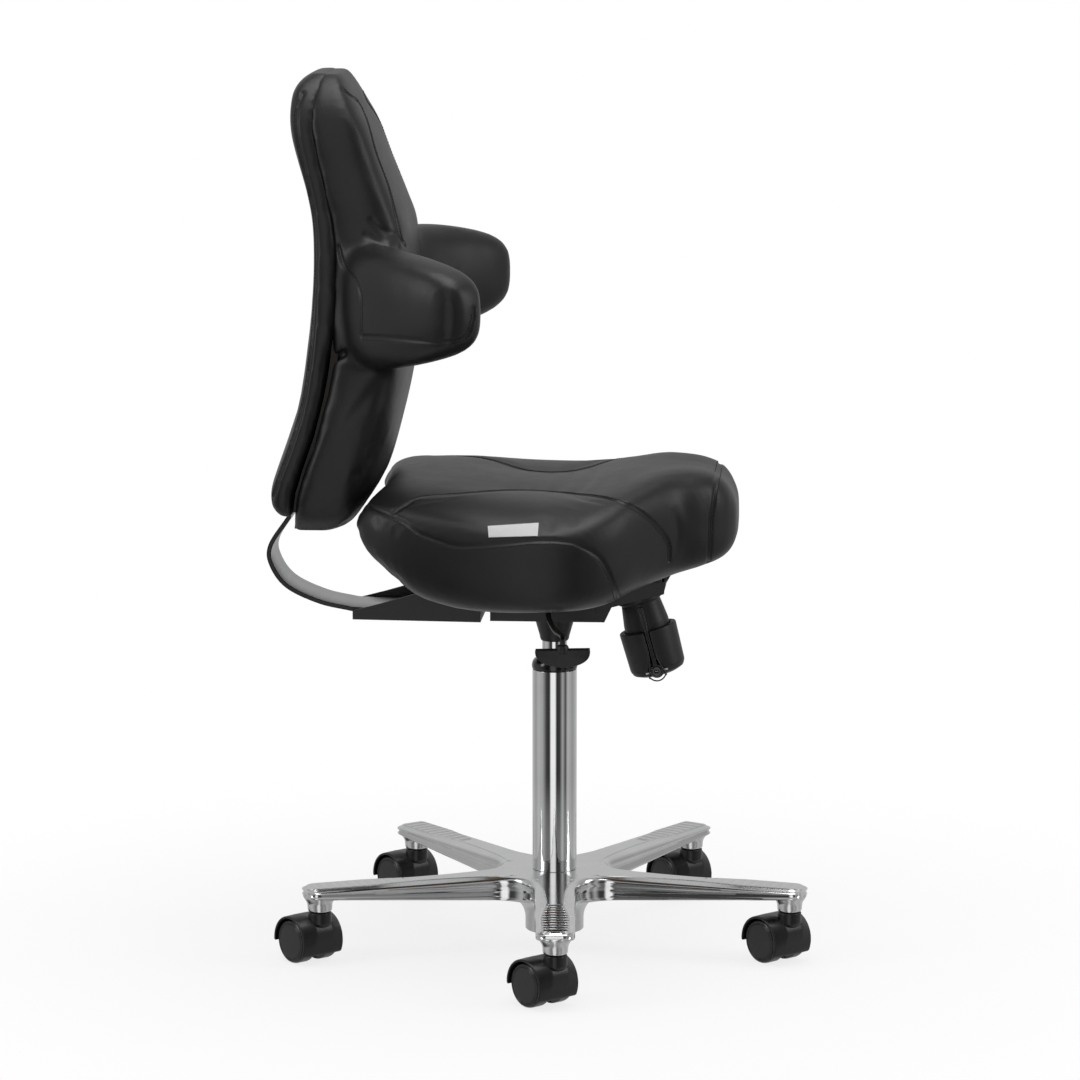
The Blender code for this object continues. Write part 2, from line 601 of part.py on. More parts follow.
def make_column(assembly):
    inner = COLUMN_RADIUS - COLUMN_WALL
    hole = ROD_RADIUS + RUN
    plate_top = COLUMN_FOOT + FOOT_PLATE
    seat = LEG_TOP + FIT
    turned("column_tube", [
        (hole, COLUMN_FOOT), (TAPER_BOTTOM, COLUMN_FOOT), (TAPER_TOP, LEG_TOP), (TAPER_TOP, seat),
        (COLUMN_RADIUS, seat), (COLUMN_RADIUS, COLUMN_TOP), (inner, COLUMN_TOP),
        (inner, seat), (TAPER_BOTTOM - COLUMN_WALL, plate_top), (hole, plate_top)],
        "chrome", assembly, steps=32)
    low = COLUMN_TOP + FIT
    passage = CYLINDER_RADIUS + RUN
    turned("column_collar", [
        (passage, low), (COLUMN_RADIUS + 0.0003, low), (COLUMN_RADIUS + 0.0008, low + 0.003),
        (COLUMN_RADIUS + 0.0003, low + 0.007), (COLUMN_RADIUS - 0.0010, low + 0.0105),
        (COLUMN_RADIUS - 0.0035, low + COLLAR_HEIGHT), (passage, low + COLLAR_HEIGHT)],
        "nylon", assembly, steps=32)
    turned("guide_bush", [
        (passage, COLUMN_TOP - BUSH_LENGTH), (inner - FIT, COLUMN_TOP - BUSH_LENGTH),
        (inner - FIT, COLUMN_TOP - FIT), (passage, COLUMN_TOP - FIT)],
        "nylon", assembly, steps=24)
    bearing_low = plate_top + FIT
    turned("thrust_bearing", [
        (hole, bearing_low), (BEARING_RADIUS, bearing_low),
        (BEARING_RADIUS, bearing_low + BEARING_HEIGHT),
        (hole, bearing_low + BEARING_HEIGHT)], "steel", assembly, steps=24)

    spindle = empty("seat_swivel_axis", (0.0, 0.0, 0.0), assembly)
    shoulder = bearing_low + BEARING_HEIGHT + FIT
    bump = shoulder + SHOULDER_HEIGHT + FIT
    cylinder_low = bump + BUMP_HEIGHT + FIT
    piston = cylinder_low + CYLINDER_END + LIFT + LIFT_SPARE
    groove = ROD_RADIUS - CLIP_GROOVE
    clip_high = COLUMN_FOOT - 2 * FIT
    clip_low = clip_high - CLIP_THICK
    bore = CYLINDER_RADIUS - CYLINDER_WALL
    turned("piston_rod", [
        (0.0, clip_low - ROD_TIP), (ROD_RADIUS, clip_low - ROD_TIP),
        (ROD_RADIUS, clip_low - FIT), (groove, clip_low - FIT), (groove, clip_high + FIT),
        (ROD_RADIUS, clip_high + FIT), (ROD_RADIUS, shoulder), (SHOULDER_RADIUS, shoulder),
        (SHOULDER_RADIUS, shoulder + SHOULDER_HEIGHT), (ROD_RADIUS, shoulder + SHOULDER_HEIGHT),
        (ROD_RADIUS, piston), (bore - RUN, piston), (bore - RUN, piston + PISTON_LENGTH),
        (0.0, piston + PISTON_LENGTH)], "chrome", spindle, steps=16)
    turned("rod_clip", [
        (groove + FIT, clip_low), (CLIP_RADIUS, clip_low), (CLIP_RADIUS, clip_high),
        (groove + FIT, clip_high)], "steel", spindle, steps=16)
    turned("bump_stop", [
        (ROD_RADIUS + FIT, bump), (BUMP_RADIUS, bump), (BUMP_RADIUS - 0.001, bump + BUMP_HEIGHT),
        (ROD_RADIUS + FIT, bump + BUMP_HEIGHT)], "rubber", spindle, steps=18)

    lift = empty("seat_lift_axis", (0.0, 0.0, 0.0), spindle)
    pin_hole = PIN_RADIUS + FIT
    turned("gas_cylinder", [
        (ROD_RADIUS + RUN, cylinder_low), (CYLINDER_RADIUS, cylinder_low),
        (CYLINDER_RADIUS, CYLINDER_NECK), (CYLINDER_TOP_RADIUS, CYLINDER_TOP),
        (pin_hole, CYLINDER_TOP), (pin_hole, CYLINDER_NECK + 0.010),
        (bore, CYLINDER_NECK + 0.008), (bore, cylinder_low + CYLINDER_END),
        (ROD_RADIUS + RUN, cylinder_low + CYLINDER_END)], "chrome", lift, steps=28)
    turned("release_pin", [
        (0.0, CYLINDER_NECK + 0.011 + PIN_TRAVEL), (PIN_RADIUS, CYLINDER_NECK + 0.011 + PIN_TRAVEL),
        (PIN_RADIUS, PIN_TOP - 0.001), (PIN_RADIUS - 0.001, PIN_TOP), (0.0, PIN_TOP)],
        "steel", lift, steps=16)
    return lift


# ---------------------------------------------------------------- mechanism

def along_knob(down, across=0.0):
    """(x, z) of a point on the screw's axis, or beside it towards the front."""
    return (KNOB_X + math.sin(KNOB_TILT) * down + math.cos(KNOB_TILT) * across,
            KNOB_TOP - math.cos(KNOB_TILT) * down + math.sin(KNOB_TILT) * across)


def make_mechanism(lift):
    nose_back = along_knob(-SLEEVE_RISE, -NOSE_HALF)
    nose_front = along_knob(-SLEEVE_RISE, NOSE_HALF)
    outline = [
        (HOUSING_BACK, HOUSING_BOTTOM), (nose_back[0] - 0.008, HOUSING_BOTTOM), nose_back,
        nose_front, (nose_front[0] + 0.0025, FRAME_UNDERSIDE - 0.0015),
        (AXLE_X - 0.005, FRAME_UNDERSIDE - 0.0085), (HOUSING_BACK, AXLE_Z - 0.001)]
    housing = prism("mechanism_housing", outline, -HOUSING_HALF_WIDTH, HOUSING_HALF_WIDTH,
                    "black_steel", lift, axis="Y")
    hollow = offset_outline(outline, HOUSING_WALL)
    hollow = hollow[:4] + [(x, z + 0.03) for x, z in hollow[4:]]
    inner = HOUSING_HALF_WIDTH - HOUSING_WALL
    cut(housing, prism("housing_hollow", hollow, -inner, inner, "black_steel", lift, axis="Y"))
    boss = CYLINDER_RADIUS + SOCKET_BOSS_WALL
    boss_top = CYLINDER_TOP - 0.004
    cone = turned("column_socket", [
        (0.0, SOCKET_CONE_BOTTOM), (SOCKET_CONE_TIP - 0.0008, SOCKET_CONE_BOTTOM),
        (SOCKET_CONE_TIP, SOCKET_CONE_BOTTOM + 0.002),
        (SOCKET_CONE_RADIUS - 0.001, HOUSING_BOTTOM - 0.003),
        (SOCKET_CONE_RADIUS, HOUSING_BOTTOM + HOUSING_WALL / 2),
        (boss, HOUSING_BOTTOM + HOUSING_WALL / 2), (boss, boss_top), (0.0, boss_top)],
        "black_steel", lift, steps=36)
    join(housing, cone)
    seat_low = SOCKET_CONE_BOTTOM - 0.01
    bore = turned("column_bore", [
        (0.0, seat_low), (CYLINDER_RADIUS + FIT, seat_low),
        (CYLINDER_RADIUS + FIT, CYLINDER_NECK), (CYLINDER_TOP_RADIUS + FIT, CYLINDER_TOP),
        (CYLINDER_TOP_RADIUS + FIT, CYLINDER_TOP + 0.01), (0.0, CYLINDER_TOP + 0.01)],
        "black_steel", lift, steps=36)
    slot_half = LEVER_ROD + LEVER_ROOM
    slot_low = PIN_TOP + FIT - 0.0058
    lever_slot = box("lever_slot", (LEVER_X - slot_half, -HOUSING_HALF_WIDTH - 0.01, slot_low),
                     (LEVER_X + slot_half, -inner + 0.001, FRAME_UNDERSIDE + 0.02), "black_steel",
                     lift)
    bolt_top = along_knob(-0.06)
    bolt_low = along_knob(-0.02)
    bolt_slot = rod_between("bolt_slot", (bolt_top[0], 0.0, bolt_top[1]),
                            (bolt_low[0], 0.0, bolt_low[1]), 2 * BOLT_RADIUS, "black_steel", lift)
    axle_hole = rod_between("housing_axle_hole", (AXLE_X, -2 * HOUSING_HALF_WIDTH, AXLE_Z),
                            (AXLE_X, 2 * HOUSING_HALF_WIDTH, AXLE_Z),
                            TILT_AXLE_RADIUS + FIT, "black_steel", lift)
    cut(housing, gather("housing_openings", [bore, lever_slot, bolt_slot, axle_hole]))

    axle_half = HOUSING_HALF_WIDTH + RUN + EAR_WALL + TILT_AXLE_END
    rod_between("tilt_axle", (AXLE_X, -axle_half, AXLE_Z), (AXLE_X, axle_half, AXLE_Z),
                TILT_AXLE_RADIUS, "steel", lift)


def make_knob(lift):
    """The screw, its spring, the fixed sleeve and the knob with its folding crank."""
    knob = empty("tension_axis", (KNOB_X, 0.0, KNOB_TOP), lift, (0.0, -KNOB_TILT, 0.0))
    turned("knob_sleeve", [
        (SLEEVE_RADIUS - SLEEVE_WALL, -SLEEVE_DROP), (SLEEVE_RADIUS, -SLEEVE_DROP),
        (SLEEVE_RADIUS, 0.004), (SLEEVE_NECK_RADIUS, SLEEVE_RISE - FIT),
        (SLEEVE_NECK_RADIUS - SLEEVE_WALL, SLEEVE_RISE - FIT),
        (SLEEVE_RADIUS - SLEEVE_WALL, 0.004)], "nylon", knob, steps=28)

    cup = turned("tension_knob", [
        (0.0, -KNOB_LENGTH), (KNOB_FOOT_RADIUS - 0.0112, -KNOB_LENGTH + 0.0010),
        (KNOB_FOOT_RADIUS - 0.0037, -KNOB_LENGTH + 0.0045),
        (KNOB_FOOT_RADIUS, -KNOB_LENGTH + 0.0095), (KNOB_RADIUS - 0.0004, -0.0008),
        (KNOB_RADIUS - 0.0012, 0.0), (KNOB_BORE, 0.0), (KNOB_BORE, -KNOB_FLOOR),
        (NUT_RADIUS + FIT, -KNOB_FLOOR), (NUT_RADIUS + FIT, -KNOB_FLOOR - NUT_HEIGHT - 2 * FIT),
        (0.0, -KNOB_FLOOR - NUT_HEIGHT - 2 * FIT)], "nylon", knob, steps=32)
    slot_half = CRANK_RADIUS + 0.0012
    outside = 2 * KNOB_RADIUS
    slot = box("crank_slot", (-slot_half, -outside, -CRANK_PIVOT),
               (slot_half, -CRANK_REACH + CRANK_RADIUS + RUN, 0.01), "nylon", knob)
    width, depth, height = CRANK_HEAD
    pocket_half = width / 2 + 0.0010
    sweep = math.hypot(height / 2 + 0.001, depth) + RUN
    pocket = box("crank_pocket", (-pocket_half, -outside, -CRANK_PIVOT - height),
                 (pocket_half, -CRANK_REACH + sweep, -CRANK_PIVOT + height / 2 + 0.002),
                 "nylon", knob)
    pin_half = pocket_half + CRANK_PIN_BITE
    pin_y = -CRANK_REACH + 0.001
    pin_hole = rod_between("crank_pin_hole", (-pin_half - FIT, pin_y, -CRANK_PIVOT),
                           (pin_half + FIT, pin_y, -CRANK_PIVOT), CRANK_PIN_RADIUS + FIT,
                           "nylon", knob, steps=12)
    cut(cup, slot, pocket, pin_hole)
    rod_between("crank_pin", (-pin_half, pin_y, -CRANK_PIVOT), (pin_half, pin_y, -CRANK_PIVOT),
                CRANK_PIN_RADIUS, "steel", knob, steps=12)

    arm = rod_between("crank_arm", (0.0, -CRANK_REACH, -CRANK_PIVOT),
                      (0.0, -CRANK_REACH, CRANK_RISE), CRANK_RADIUS, "nylon", knob, steps=14)
    head = box("crank_head", (-width / 2, pin_y - depth / 2, -CRANK_PIVOT - height / 2),
               (width / 2, pin_y + depth / 2, -CRANK_PIVOT + height / 2), "nylon", knob)
    join(arm, head)
    eye = rod_between("crank_eye", (-0.02, pin_y, -CRANK_PIVOT), (0.02, pin_y, -CRANK_PIVOT),
                      CRANK_PIN_RADIUS + FIT, "nylon", knob, steps=12)
    cut(arm, eye)

    nut_top = -KNOB_FLOOR - FIT
    nut = turned("spring_nut", [
        (0.0, nut_top - NUT_HEIGHT), (NUT_RADIUS, nut_top - NUT_HEIGHT), (NUT_RADIUS, nut_top),
        (0.0, nut_top)], "steel", knob, steps=6)
    cut(nut, rod_between("nut_hole", (0.0, 0.0, nut_top - 2 * NUT_HEIGHT),
                         (0.0, 0.0, nut_top + NUT_HEIGHT), BOLT_RADIUS + FIT, "steel", knob))

    eye_outer = EYE_HOLE + EYE_WALL
    bolt = rod_between("eye_bolt", (0.0, 0.0, nut_top - NUT_HEIGHT + FIT),
                       (0.0, 0.0, CROSS_PIN_RISE - EYE_HOLE - 0.001), BOLT_RADIUS, "steel", knob)
    eye_half = LUG_GAP - EYE_ROOM
    ring = rod_between("bolt_eye", (0.0, -eye_half, CROSS_PIN_RISE),
                       (0.0, eye_half, CROSS_PIN_RISE), eye_outer, "steel", knob, steps=24)
    eye_cut = rod_between("bolt_eye_hole", (0.0, -0.02, CROSS_PIN_RISE),
                          (0.0, 0.02, CROSS_PIN_RISE), EYE_HOLE, "steel", knob, steps=24)
    join(bolt, ring)
    cut(bolt, eye_cut)

    low = -KNOB_FLOOR + SPRING_WIRE + FIT
    high = SLEEVE_RISE - SPRING_WIRE - 0.001
    curve = bpy.data.curves.new("tension_spring", "CURVE")
    curve.dimensions = "3D"
    curve.bevel_depth = SPRING_WIRE
    curve.bevel_resolution = 1
    curve.use_fill_caps = True
    steps = int(SPRING_TURNS * 12)
    wire = curve.splines.new("POLY")
    wire.points.add(steps)
    for i in range(steps + 1):
        turn = 2 * math.pi * SPRING_TURNS * i / steps
        level = low + (high - low) * i / steps
        wire.points[i].co = (SPRING_RADIUS * math.cos(turn), SPRING_RADIUS * math.sin(turn),
                             level, 1.0)
    curve.materials.append(material("steel"))
    spring = bpy.data.objects.new("tension_spring", curve)
    bpy.context.scene.collection.objects.link(spring)
    spring.parent = knob


def make_lever(lift):
    pivot_z = PIN_TOP + FIT + LEVER_ROD
    pivot = empty("height_lever_axis", (LEVER_X, LEVER_PIVOT_Y, pivot_z), lift)
    px, py, pz = PADDLE_CENTRE
    top = pz + PADDLE_SIZE[2] / 2
    route = [
        (0.0, -LEVER_PIVOT_Y + 0.006, 0.0), (0.0, 0.006, 0.0), (0.0, -0.006, -0.002),
        (0.001, -0.022, -0.0145), (0.005, -0.045, -0.0190), (0.013, -0.090, -0.0195),
        (px - LEVER_X - 0.002, py - LEVER_PIVOT_Y + 0.016, -0.0200),
        (px - LEVER_X, py - LEVER_PIVOT_Y + 0.0035, top - pivot_z + 0.0092),
        (px - LEVER_X, py - LEVER_PIVOT_Y, top - pivot_z + 0.0048),
        (px - LEVER_X, py - LEVER_PIVOT_Y, top - pivot_z - 0.003),
        (px - LEVER_X, py - LEVER_PIVOT_Y, top - pivot_z - 0.012)]
    path = curve_through(route, 3)
    rings = []
    side = Vector((1.0, 0.0, 0.0))
    for i, centre in enumerate(path):
        way = (path[min(i + 1, len(path) - 1)] - path[max(i - 1, 0)]).normalized()
        side = (side - way * side.dot(way)).normalized()
        other = way.cross(side)
        rings.append([centre + LEVER_ROD * (math.cos(2 * math.pi * j / 12) * side
                                            + math.sin(2 * math.pi * j / 12) * other)
                      for j in range(12)])
    loft("lever_rod", rings, "black_steel", pivot)

    wide, deep, tall = PADDLE_SIZE
    centre = Vector((px - LEVER_X, py - LEVER_PIVOT_Y, pz - pivot_z))
    outline = arc((wide / 2 - tall / 2, 0.0), tall / 2, -math.pi / 2, math.pi / 2, 8)
    outline += arc((-wide / 2 + tall / 2, 0.0), tall / 2, math.pi / 2, 1.5 * math.pi, 8)
    narrow = 1.0 - PADDLE_EDGE / (wide / 2)
    shrink = [(narrow, 0.86, -deep / 2), (1.0, 1.0, -deep / 2 + PADDLE_EDGE),
              (1.0, 1.0, deep / 2 - PADDLE_EDGE), (narrow, 0.86, deep / 2)]
    rings = [[centre + Vector((x * sx, y, z * sz)) for x, z in outline] for sx, sz, y in shrink]
    paddle = loft("lever_paddle", rings, "nylon", pivot)
    knuckle_radius = LEVER_ROD + KNUCKLE_WALL
    knuckle = turned("paddle_knuckle", [
        (0.0, tall / 2 - 0.006), (knuckle_radius, tall / 2 - 0.006),
        (knuckle_radius, tall / 2 + 0.001), (knuckle_radius - PADDLE_EDGE, tall / 2 + 0.0035),
        (0.0, tall / 2 + 0.0035)], "nylon", pivot, steps=20,
        offset=tuple(centre))
    join(paddle, knuckle)
    hole = rod_between("paddle_hole", centre + Vector((0.0, 0.0, tall / 2 - 0.013)),
                       centre + Vector((0.0, 0.0, tall / 2 + 0.02)), LEVER_ROD + 2 * FIT,
                       "nylon", pivot)
    cut(paddle, hole)


# ---------------------------------------------------------------- tilting frame

def seat_bolt_places():
    return [(x, side * SEAT_BOLT_Y) for x in SEAT_BOLT_X for side in (-1, 1)]


def seat_bolt_holes(name, tilt, offset):
    top = FRAME_UNDERSIDE + FRAME_PLATE + FIT + PAN_THICK - 0.0025
    return [rod_between("%s_%d" % (name, i), (x, y, FRAME_UNDERSIDE - 0.004), (x, y, top),
                        SEAT_BOLT_RADIUS + FIT, "steel", tilt, offset=offset, steps=12)
            for i, (x, y) in enumerate(seat_bolt_places())]


def make_tilt_frame(tilt, offset):
    top = FRAME_UNDERSIDE + FRAME_PLATE
    frame = box("tilt_frame", (FRAME_BACK, -FRAME_HALF_WIDTH, FRAME_UNDERSIDE),
                (FRAME_FRONT, FRAME_HALF_WIDTH, top), "black_steel", tilt, offset=offset)
    ear_in = HOUSING_HALF_WIDTH + RUN
    ear_reach = TILT_AXLE_RADIUS + EAR_MARGIN
    lug_reach = CROSS_PIN_RADIUS + LUG_MARGIN
    pin_x, pin_z = along_knob(-CROSS_PIN_RISE)
    walls = []
    for side in (-1, 1):
        near, far = sorted((side * ear_in, side * (ear_in + EAR_WALL)))
        walls.append(box("ear_%d" % side, (AXLE_X - ear_reach, near, AXLE_Z - ear_reach + 0.001),
                         (AXLE_X + ear_reach, far, FRAME_UNDERSIDE + FRAME_PLATE / 2),
                         "black_steel", tilt, offset=offset))
        near, far = sorted((side * LUG_GAP, side * (LUG_GAP + LUG_WALL)))
        walls.append(box("lug_%d" % side, (pin_x - lug_reach, near, pin_z - lug_reach + 0.0015),
                         (pin_x + lug_reach, far, FRAME_UNDERSIDE + FRAME_PLATE / 2),
                         "black_steel", tilt, offset=offset))
    join(frame, gather("ears_and_lugs", walls))
    axle_hole = rod_between("frame_axle_hole", (AXLE_X, -2 * ear_in, AXLE_Z), (AXLE_X, 2 * ear_in, AXLE_Z),
                            TILT_AXLE_RADIUS + RUN, "black_steel", tilt, offset=offset)
    pin_hole = rod_between("cross_pin_hole", (pin_x, -0.03, pin_z), (pin_x, 0.03, pin_z),
                           CROSS_PIN_RADIUS + FIT, "black_steel", tilt, offset=offset)
    holes = seat_bolt_holes("frame_bolt_hole", tilt, offset)
    cut(frame, gather("frame_holes", [axle_hole, pin_hole] + holes))
    pin_half = LUG_GAP + LUG_WALL + 0.001
    rod_between("cross_pin", (pin_x, -pin_half, pin_z), (pin_x, pin_half, pin_z),
                CROSS_PIN_RADIUS, "steel", tilt, offset=offset)


def bar_bolt_hole(name, tilt, offset):
    return rod_between(name, (BAR_BOLT_X, 0.0, HOUSING_BOTTOM - 0.02),
                       (BAR_BOLT_X, 0.0, FRAME_UNDERSIDE + 0.03), BAR_BOLT_RADIUS + FIT,
                       "steel", tilt, offset=offset)


def make_channel(tilt, offset):
    wall_top = FRAME_UNDERSIDE - FIT
    outline = [
        (CHANNEL_BACK, HOUSING_BOTTOM + CHANNEL_RISE), (CHANNEL_FRONT, HOUSING_BOTTOM),
        (CHANNEL_FRONT, wall_top), (FRAME_BACK, wall_top), (FRAME_BACK - 0.032, wall_top - 0.016),
        (CHANNEL_BACK + 0.0285, HOUSING_BOTTOM + 0.019), (CHANNEL_BACK, HOUSING_BOTTOM + 0.0115)]
    channel = prism("back_channel", outline, -FRAME_HALF_WIDTH, FRAME_HALF_WIDTH,
                    "black_steel", tilt, axis="Y", offset=offset)
    inner = FRAME_HALF_WIDTH - CHANNEL_WALL
    floor = HOUSING_BOTTOM + CHANNEL_RISE + CHANNEL_FLOOR
    hollow = box("channel_hollow", (CHANNEL_BACK - 0.02, -inner, floor),
                 (CHANNEL_FRONT - CHANNEL_WALL, inner, FRAME_UNDERSIDE + 0.03), "black_steel", tilt,
                 offset=offset)
    bolt_hole = bar_bolt_hole("channel_bolt_hole", tilt, offset)
    cut(channel, hollow)
    cut(channel, bolt_hole)
    return floor


def bar_path(floor):
    """Middle line of the back bar in the XZ plane, from the channel up into the back."""
    low = floor + FIT + BAR_THICK / 2
    entry = Vector((BAR_ENTRY[0], 0.0, BAR_ENTRY[1]))
    rise = Vector((math.sin(SLIDE_LEAN), 0.0, math.cos(SLIDE_LEAN)))
    bend = curve_through([
        (CHANNEL_BACK - 0.0020, 0.0, low + 0.0012), (CHANNEL_BACK - 0.0385, 0.0, low + 0.0092),
        (CHANNEL_BACK - 0.0745, 0.0, low + 0.0262), (CHANNEL_BACK - 0.0920, 0.0, low + 0.0500),
        (CHANNEL_BACK - 0.0930, 0.0, low + 0.0720), tuple(entry - rise * 0.012)], 5)
    flat = [Vector((CHANNEL_FRONT - CHANNEL_WALL - 0.004, 0.0, low)),
            Vector((CHANNEL_BACK + 0.020, 0.0, low))]
    end = entry + rise * (BAR_INSIDE / rise.z)
    return flat + bend + [entry, end]


def make_bar(tilt, offset):
    floor = make_channel(tilt, offset)
    path = bar_path(floor)
    rings = []
    for i, centre in enumerate(path):
        way = (path[min(i + 1, len(path) - 1)] - path[max(i - 1, 0)]).normalized()
        if i >= len(path) - 2:
            way = (path[-1] - path[-2]).normalized()
        out = Vector((-way.z, 0.0, way.x)) * (BAR_THICK / 2)
        across = Vector((0.0, BAR_WIDTH / 2, 0.0))
        rings.append([centre - out - across, centre - out + across,
                      centre + out + across, centre + out - across])
    bar = loft("back_bar", rings, "steel", tilt, offset=offset)
    cut(bar, bar_bolt_hole("bar_bolt_hole", tilt, offset))
    top = floor + FIT + BAR_THICK + FIT
    bolt = turned("bar_bolt", [
        (0.0, HOUSING_BOTTOM + 0.0005), (BAR_BOLT_RADIUS, HOUSING_BOTTOM + 0.0005),
        (BAR_BOLT_RADIUS, top), (BAR_BOLT_HEAD, top), (BAR_BOLT_HEAD - 0.0005, top + 0.004),
        (0.0, top + 0.005)],
        "steel", tilt, steps=20)
    bolt.location = Vector(offset) + Vector((BAR_BOLT_X, 0.0, 0.0))


# ---------------------------------------------------------------- back

REAR_FACE = [(0.0000, -0.0050), (0.0140, -0.0130), (0.0310, -0.0140), (0.0540, -0.0065),
             (0.0870, 0.0055), (0.1200, 0.0160), (0.1540, 0.0225), (0.2440, 0.0315),
             (0.3200, 0.0320), (0.3540, 0.0255), (0.4180, 0.0085), (0.4510, 0.0065),
             (0.4730, 0.0125), (0.4900, 0.0335)]
REAR_SPLIT = [(0.0000, 0.0115), (0.0240, 0.0145), (0.0540, 0.0235), (0.0940, 0.0375),
              (0.1440, 0.0495), (0.1840, 0.0555), (0.2440, 0.0595), (0.3040, 0.0575),
              (0.3540, 0.0495), (0.3940, 0.0405), (0.4390, 0.0335), (0.4900, 0.0455)]
FRONT_FACE = [(-0.0160, 0.0585), (-0.0080, 0.0755), (0.0110, 0.0895), (0.0380, 0.1005),
              (0.0940, 0.1155), (0.1270, 0.1245), (0.1740, 0.1335), (0.2440, 0.1355),
              (0.3140, 0.1355), (0.3440, 0.1255), (0.3840, 0.1095), (0.4270, 0.0935),
              (0.4490, 0.0815), (0.4720, 0.0685), (0.4860, 0.0595)]
STEM_HALF = [(-0.0160, 0.0980), (0.0000, 0.1180), (0.0240, 0.1280), (0.0940, 0.1300),
             (0.1740, 0.1240), (0.2440, 0.1160), (0.3140, 0.1070), (0.3940, 0.0980),
             (0.4390, 0.0900), (0.4690, 0.0720), (0.4900, 0.0440)]
WING_SHARE = [(0.1580, 0.0000), (0.1700, 0.1500), (0.1790, 0.4000), (0.1890, 0.7200),
              (0.2000, 0.9000), (0.2180, 0.9850), (0.2460, 1.0000), (0.2720, 0.9850),
              (0.2860, 0.9000), (0.2970, 0.6200), (0.3050, 0.3000), (0.3160, 0.1000),
              (0.3340, 0.0000)]
BOARD_LEVELS = [0.0070, 0.0290, 0.0540, 0.0940, 0.1340, 0.1560, 0.1700, 0.1800, 0.1910, 0.2180,
                0.2490, 0.2790, 0.2930, 0.3040, 0.3180, 0.3360, 0.3740, 0.4140, 0.4440, 0.4600]


def back_frame(tilt, offset):
    """Empty on the slide's axis, with X and Z measured from the bar's entry."""
    return empty("back_slide_axis", Vector(offset) + Vector((BAR_ENTRY[0], 0.0, BAR_ENTRY[1])),
                 tilt)


def round_slab(level, half, back, front, count=20):
    """A ring at one height: a slab with well-rounded ends."""
    ring = []
    for j in range(count):
        turn = 2 * math.pi * (j + 0.5) / count
        c, s = math.cos(turn), math.sin(turn)
        x = (back + front) / 2 + (front - back) / 2 * math.copysign(abs(c) ** 0.55, c)
        y = half * math.copysign(abs(s) ** 0.45, s)
        ring.append((x, y, level))
    return ring


def make_back(tilt, offset):
    rise = Vector((math.sin(SLIDE_LEAN), 0.0, math.cos(SLIDE_LEAN)))
    slide = back_frame(tilt, offset)

    levels = [0.0] + BOARD_LEVELS + [BACK_HEIGHT - 0.010, BACK_HEIGHT]
    rings = []
    for level in levels:
        inset = 0.006 if level in (0.0, BACK_HEIGHT) else 0.0
        rings.append(round_slab(level, spline(STEM_HALF, level) - inset,
                                spline(REAR_FACE, level) + inset,
                                spline(REAR_SPLIT, level)))
    rear = loft("back_rear_cushion", rings, "leather", slide, sharp=60.0)

    end = rise * ((BAR_INSIDE + 0.004) / rise.z)
    out = Vector((-rise.z, 0.0, rise.x)) * (BAR_THICK / 2 + RUN)
    across = Vector((0.0, BAR_WIDTH / 2 + 2 * RUN, 0.0))
    pocket_rings = []
    for centre in (-0.03 * rise, end):
        pocket_rings.append([centre - out - across, centre - out + across,
                             centre + out + across, centre + out - across])
    cut(rear, loft("bar_pocket", pocket_rings, "leather", slide))

    rings = []
    for level in BOARD_LEVELS:
        half = spline(STEM_HALF, level) - BOARD_INSET
        back = spline(REAR_SPLIT, level) + FIT
        rings.append([(back, -half, level), (back + BOARD_THICK, -half, level),
                      (back + BOARD_THICK, half, level), (back, half, level)])
    loft("back_board", rings, "plywood", slide)

    front_levels = [-0.016, -0.008] + BOARD_LEVELS + [BACK_HEIGHT - 0.014, BACK_HEIGHT - 0.004]
    rings = []
    count = 28
    for level in front_levels:
        share = max(0.0, spline(WING_SHARE, level))
        half = spline(STEM_HALF, level) * (1 - share) + WING_REACH * share
        back = spline(REAR_SPLIT, level) + BOARD_THICK + 2 * FIT
        front = spline(FRONT_FACE, level)
        ring = []
        for j in range(count):
            turn = 2 * math.pi * (j + 0.5) / count
            c, s = math.cos(turn), math.sin(turn)
            side = math.copysign(abs(s) ** 0.7, s)
            y = half * side
            beyond = max(abs(y) - WING_ROOT, 0.0) / (WING_REACH - WING_ROOT)
            curl = WING_CURL * beyond ** 1.3
            x = (back + front) / 2 + (front - back) / 2 * math.copysign(abs(c) ** 0.6, c)
            ring.append((x + curl, y, level))
        rings.append(ring)
    loft("back_front_cushion", rings, "leather", slide, sharp=60.0)


# ---------------------------------------------------------------- seat

SEAT_TOP = [(-0.1900, 0.0915), (-0.1820, 0.1085), (-0.1600, 0.1175), (-0.1000, 0.1175),
            (-0.0300, 0.1115), (0.0300, 0.1115), (0.0800, 0.1215), (0.1250, 0.1335),
            (0.1650, 0.1325), (0.1900, 0.1215), (0.2030, 0.0995), (0.2090, 0.0765)]
SEAT_BOTTOM = [(-0.1900, 0.0715), (-0.1820, 0.0485), (-0.1550, 0.0175), (-0.1300, -0.0035),
               (-0.0800, -0.0155), (0.0100, -0.0155), (0.0620, -0.0105), (0.0950, 0.0015),
               (0.1330, 0.0115), (0.1780, 0.0235), (0.2000, 0.0375), (0.2090, 0.0615)]
SEAT_NARROWING = [(-0.1900, 0.0760), (-0.1820, 0.0540), (-0.1550, 0.0310), (-0.1000, 0.0110),
                  (-0.0200, 0.0000), (0.0400, 0.0060), (0.0800, 0.0340), (0.1100, 0.0760),
                  (0.1400, 0.1140), (0.1700, 0.1340), (0.1950, 0.1560), (0.2090, 0.1860)]


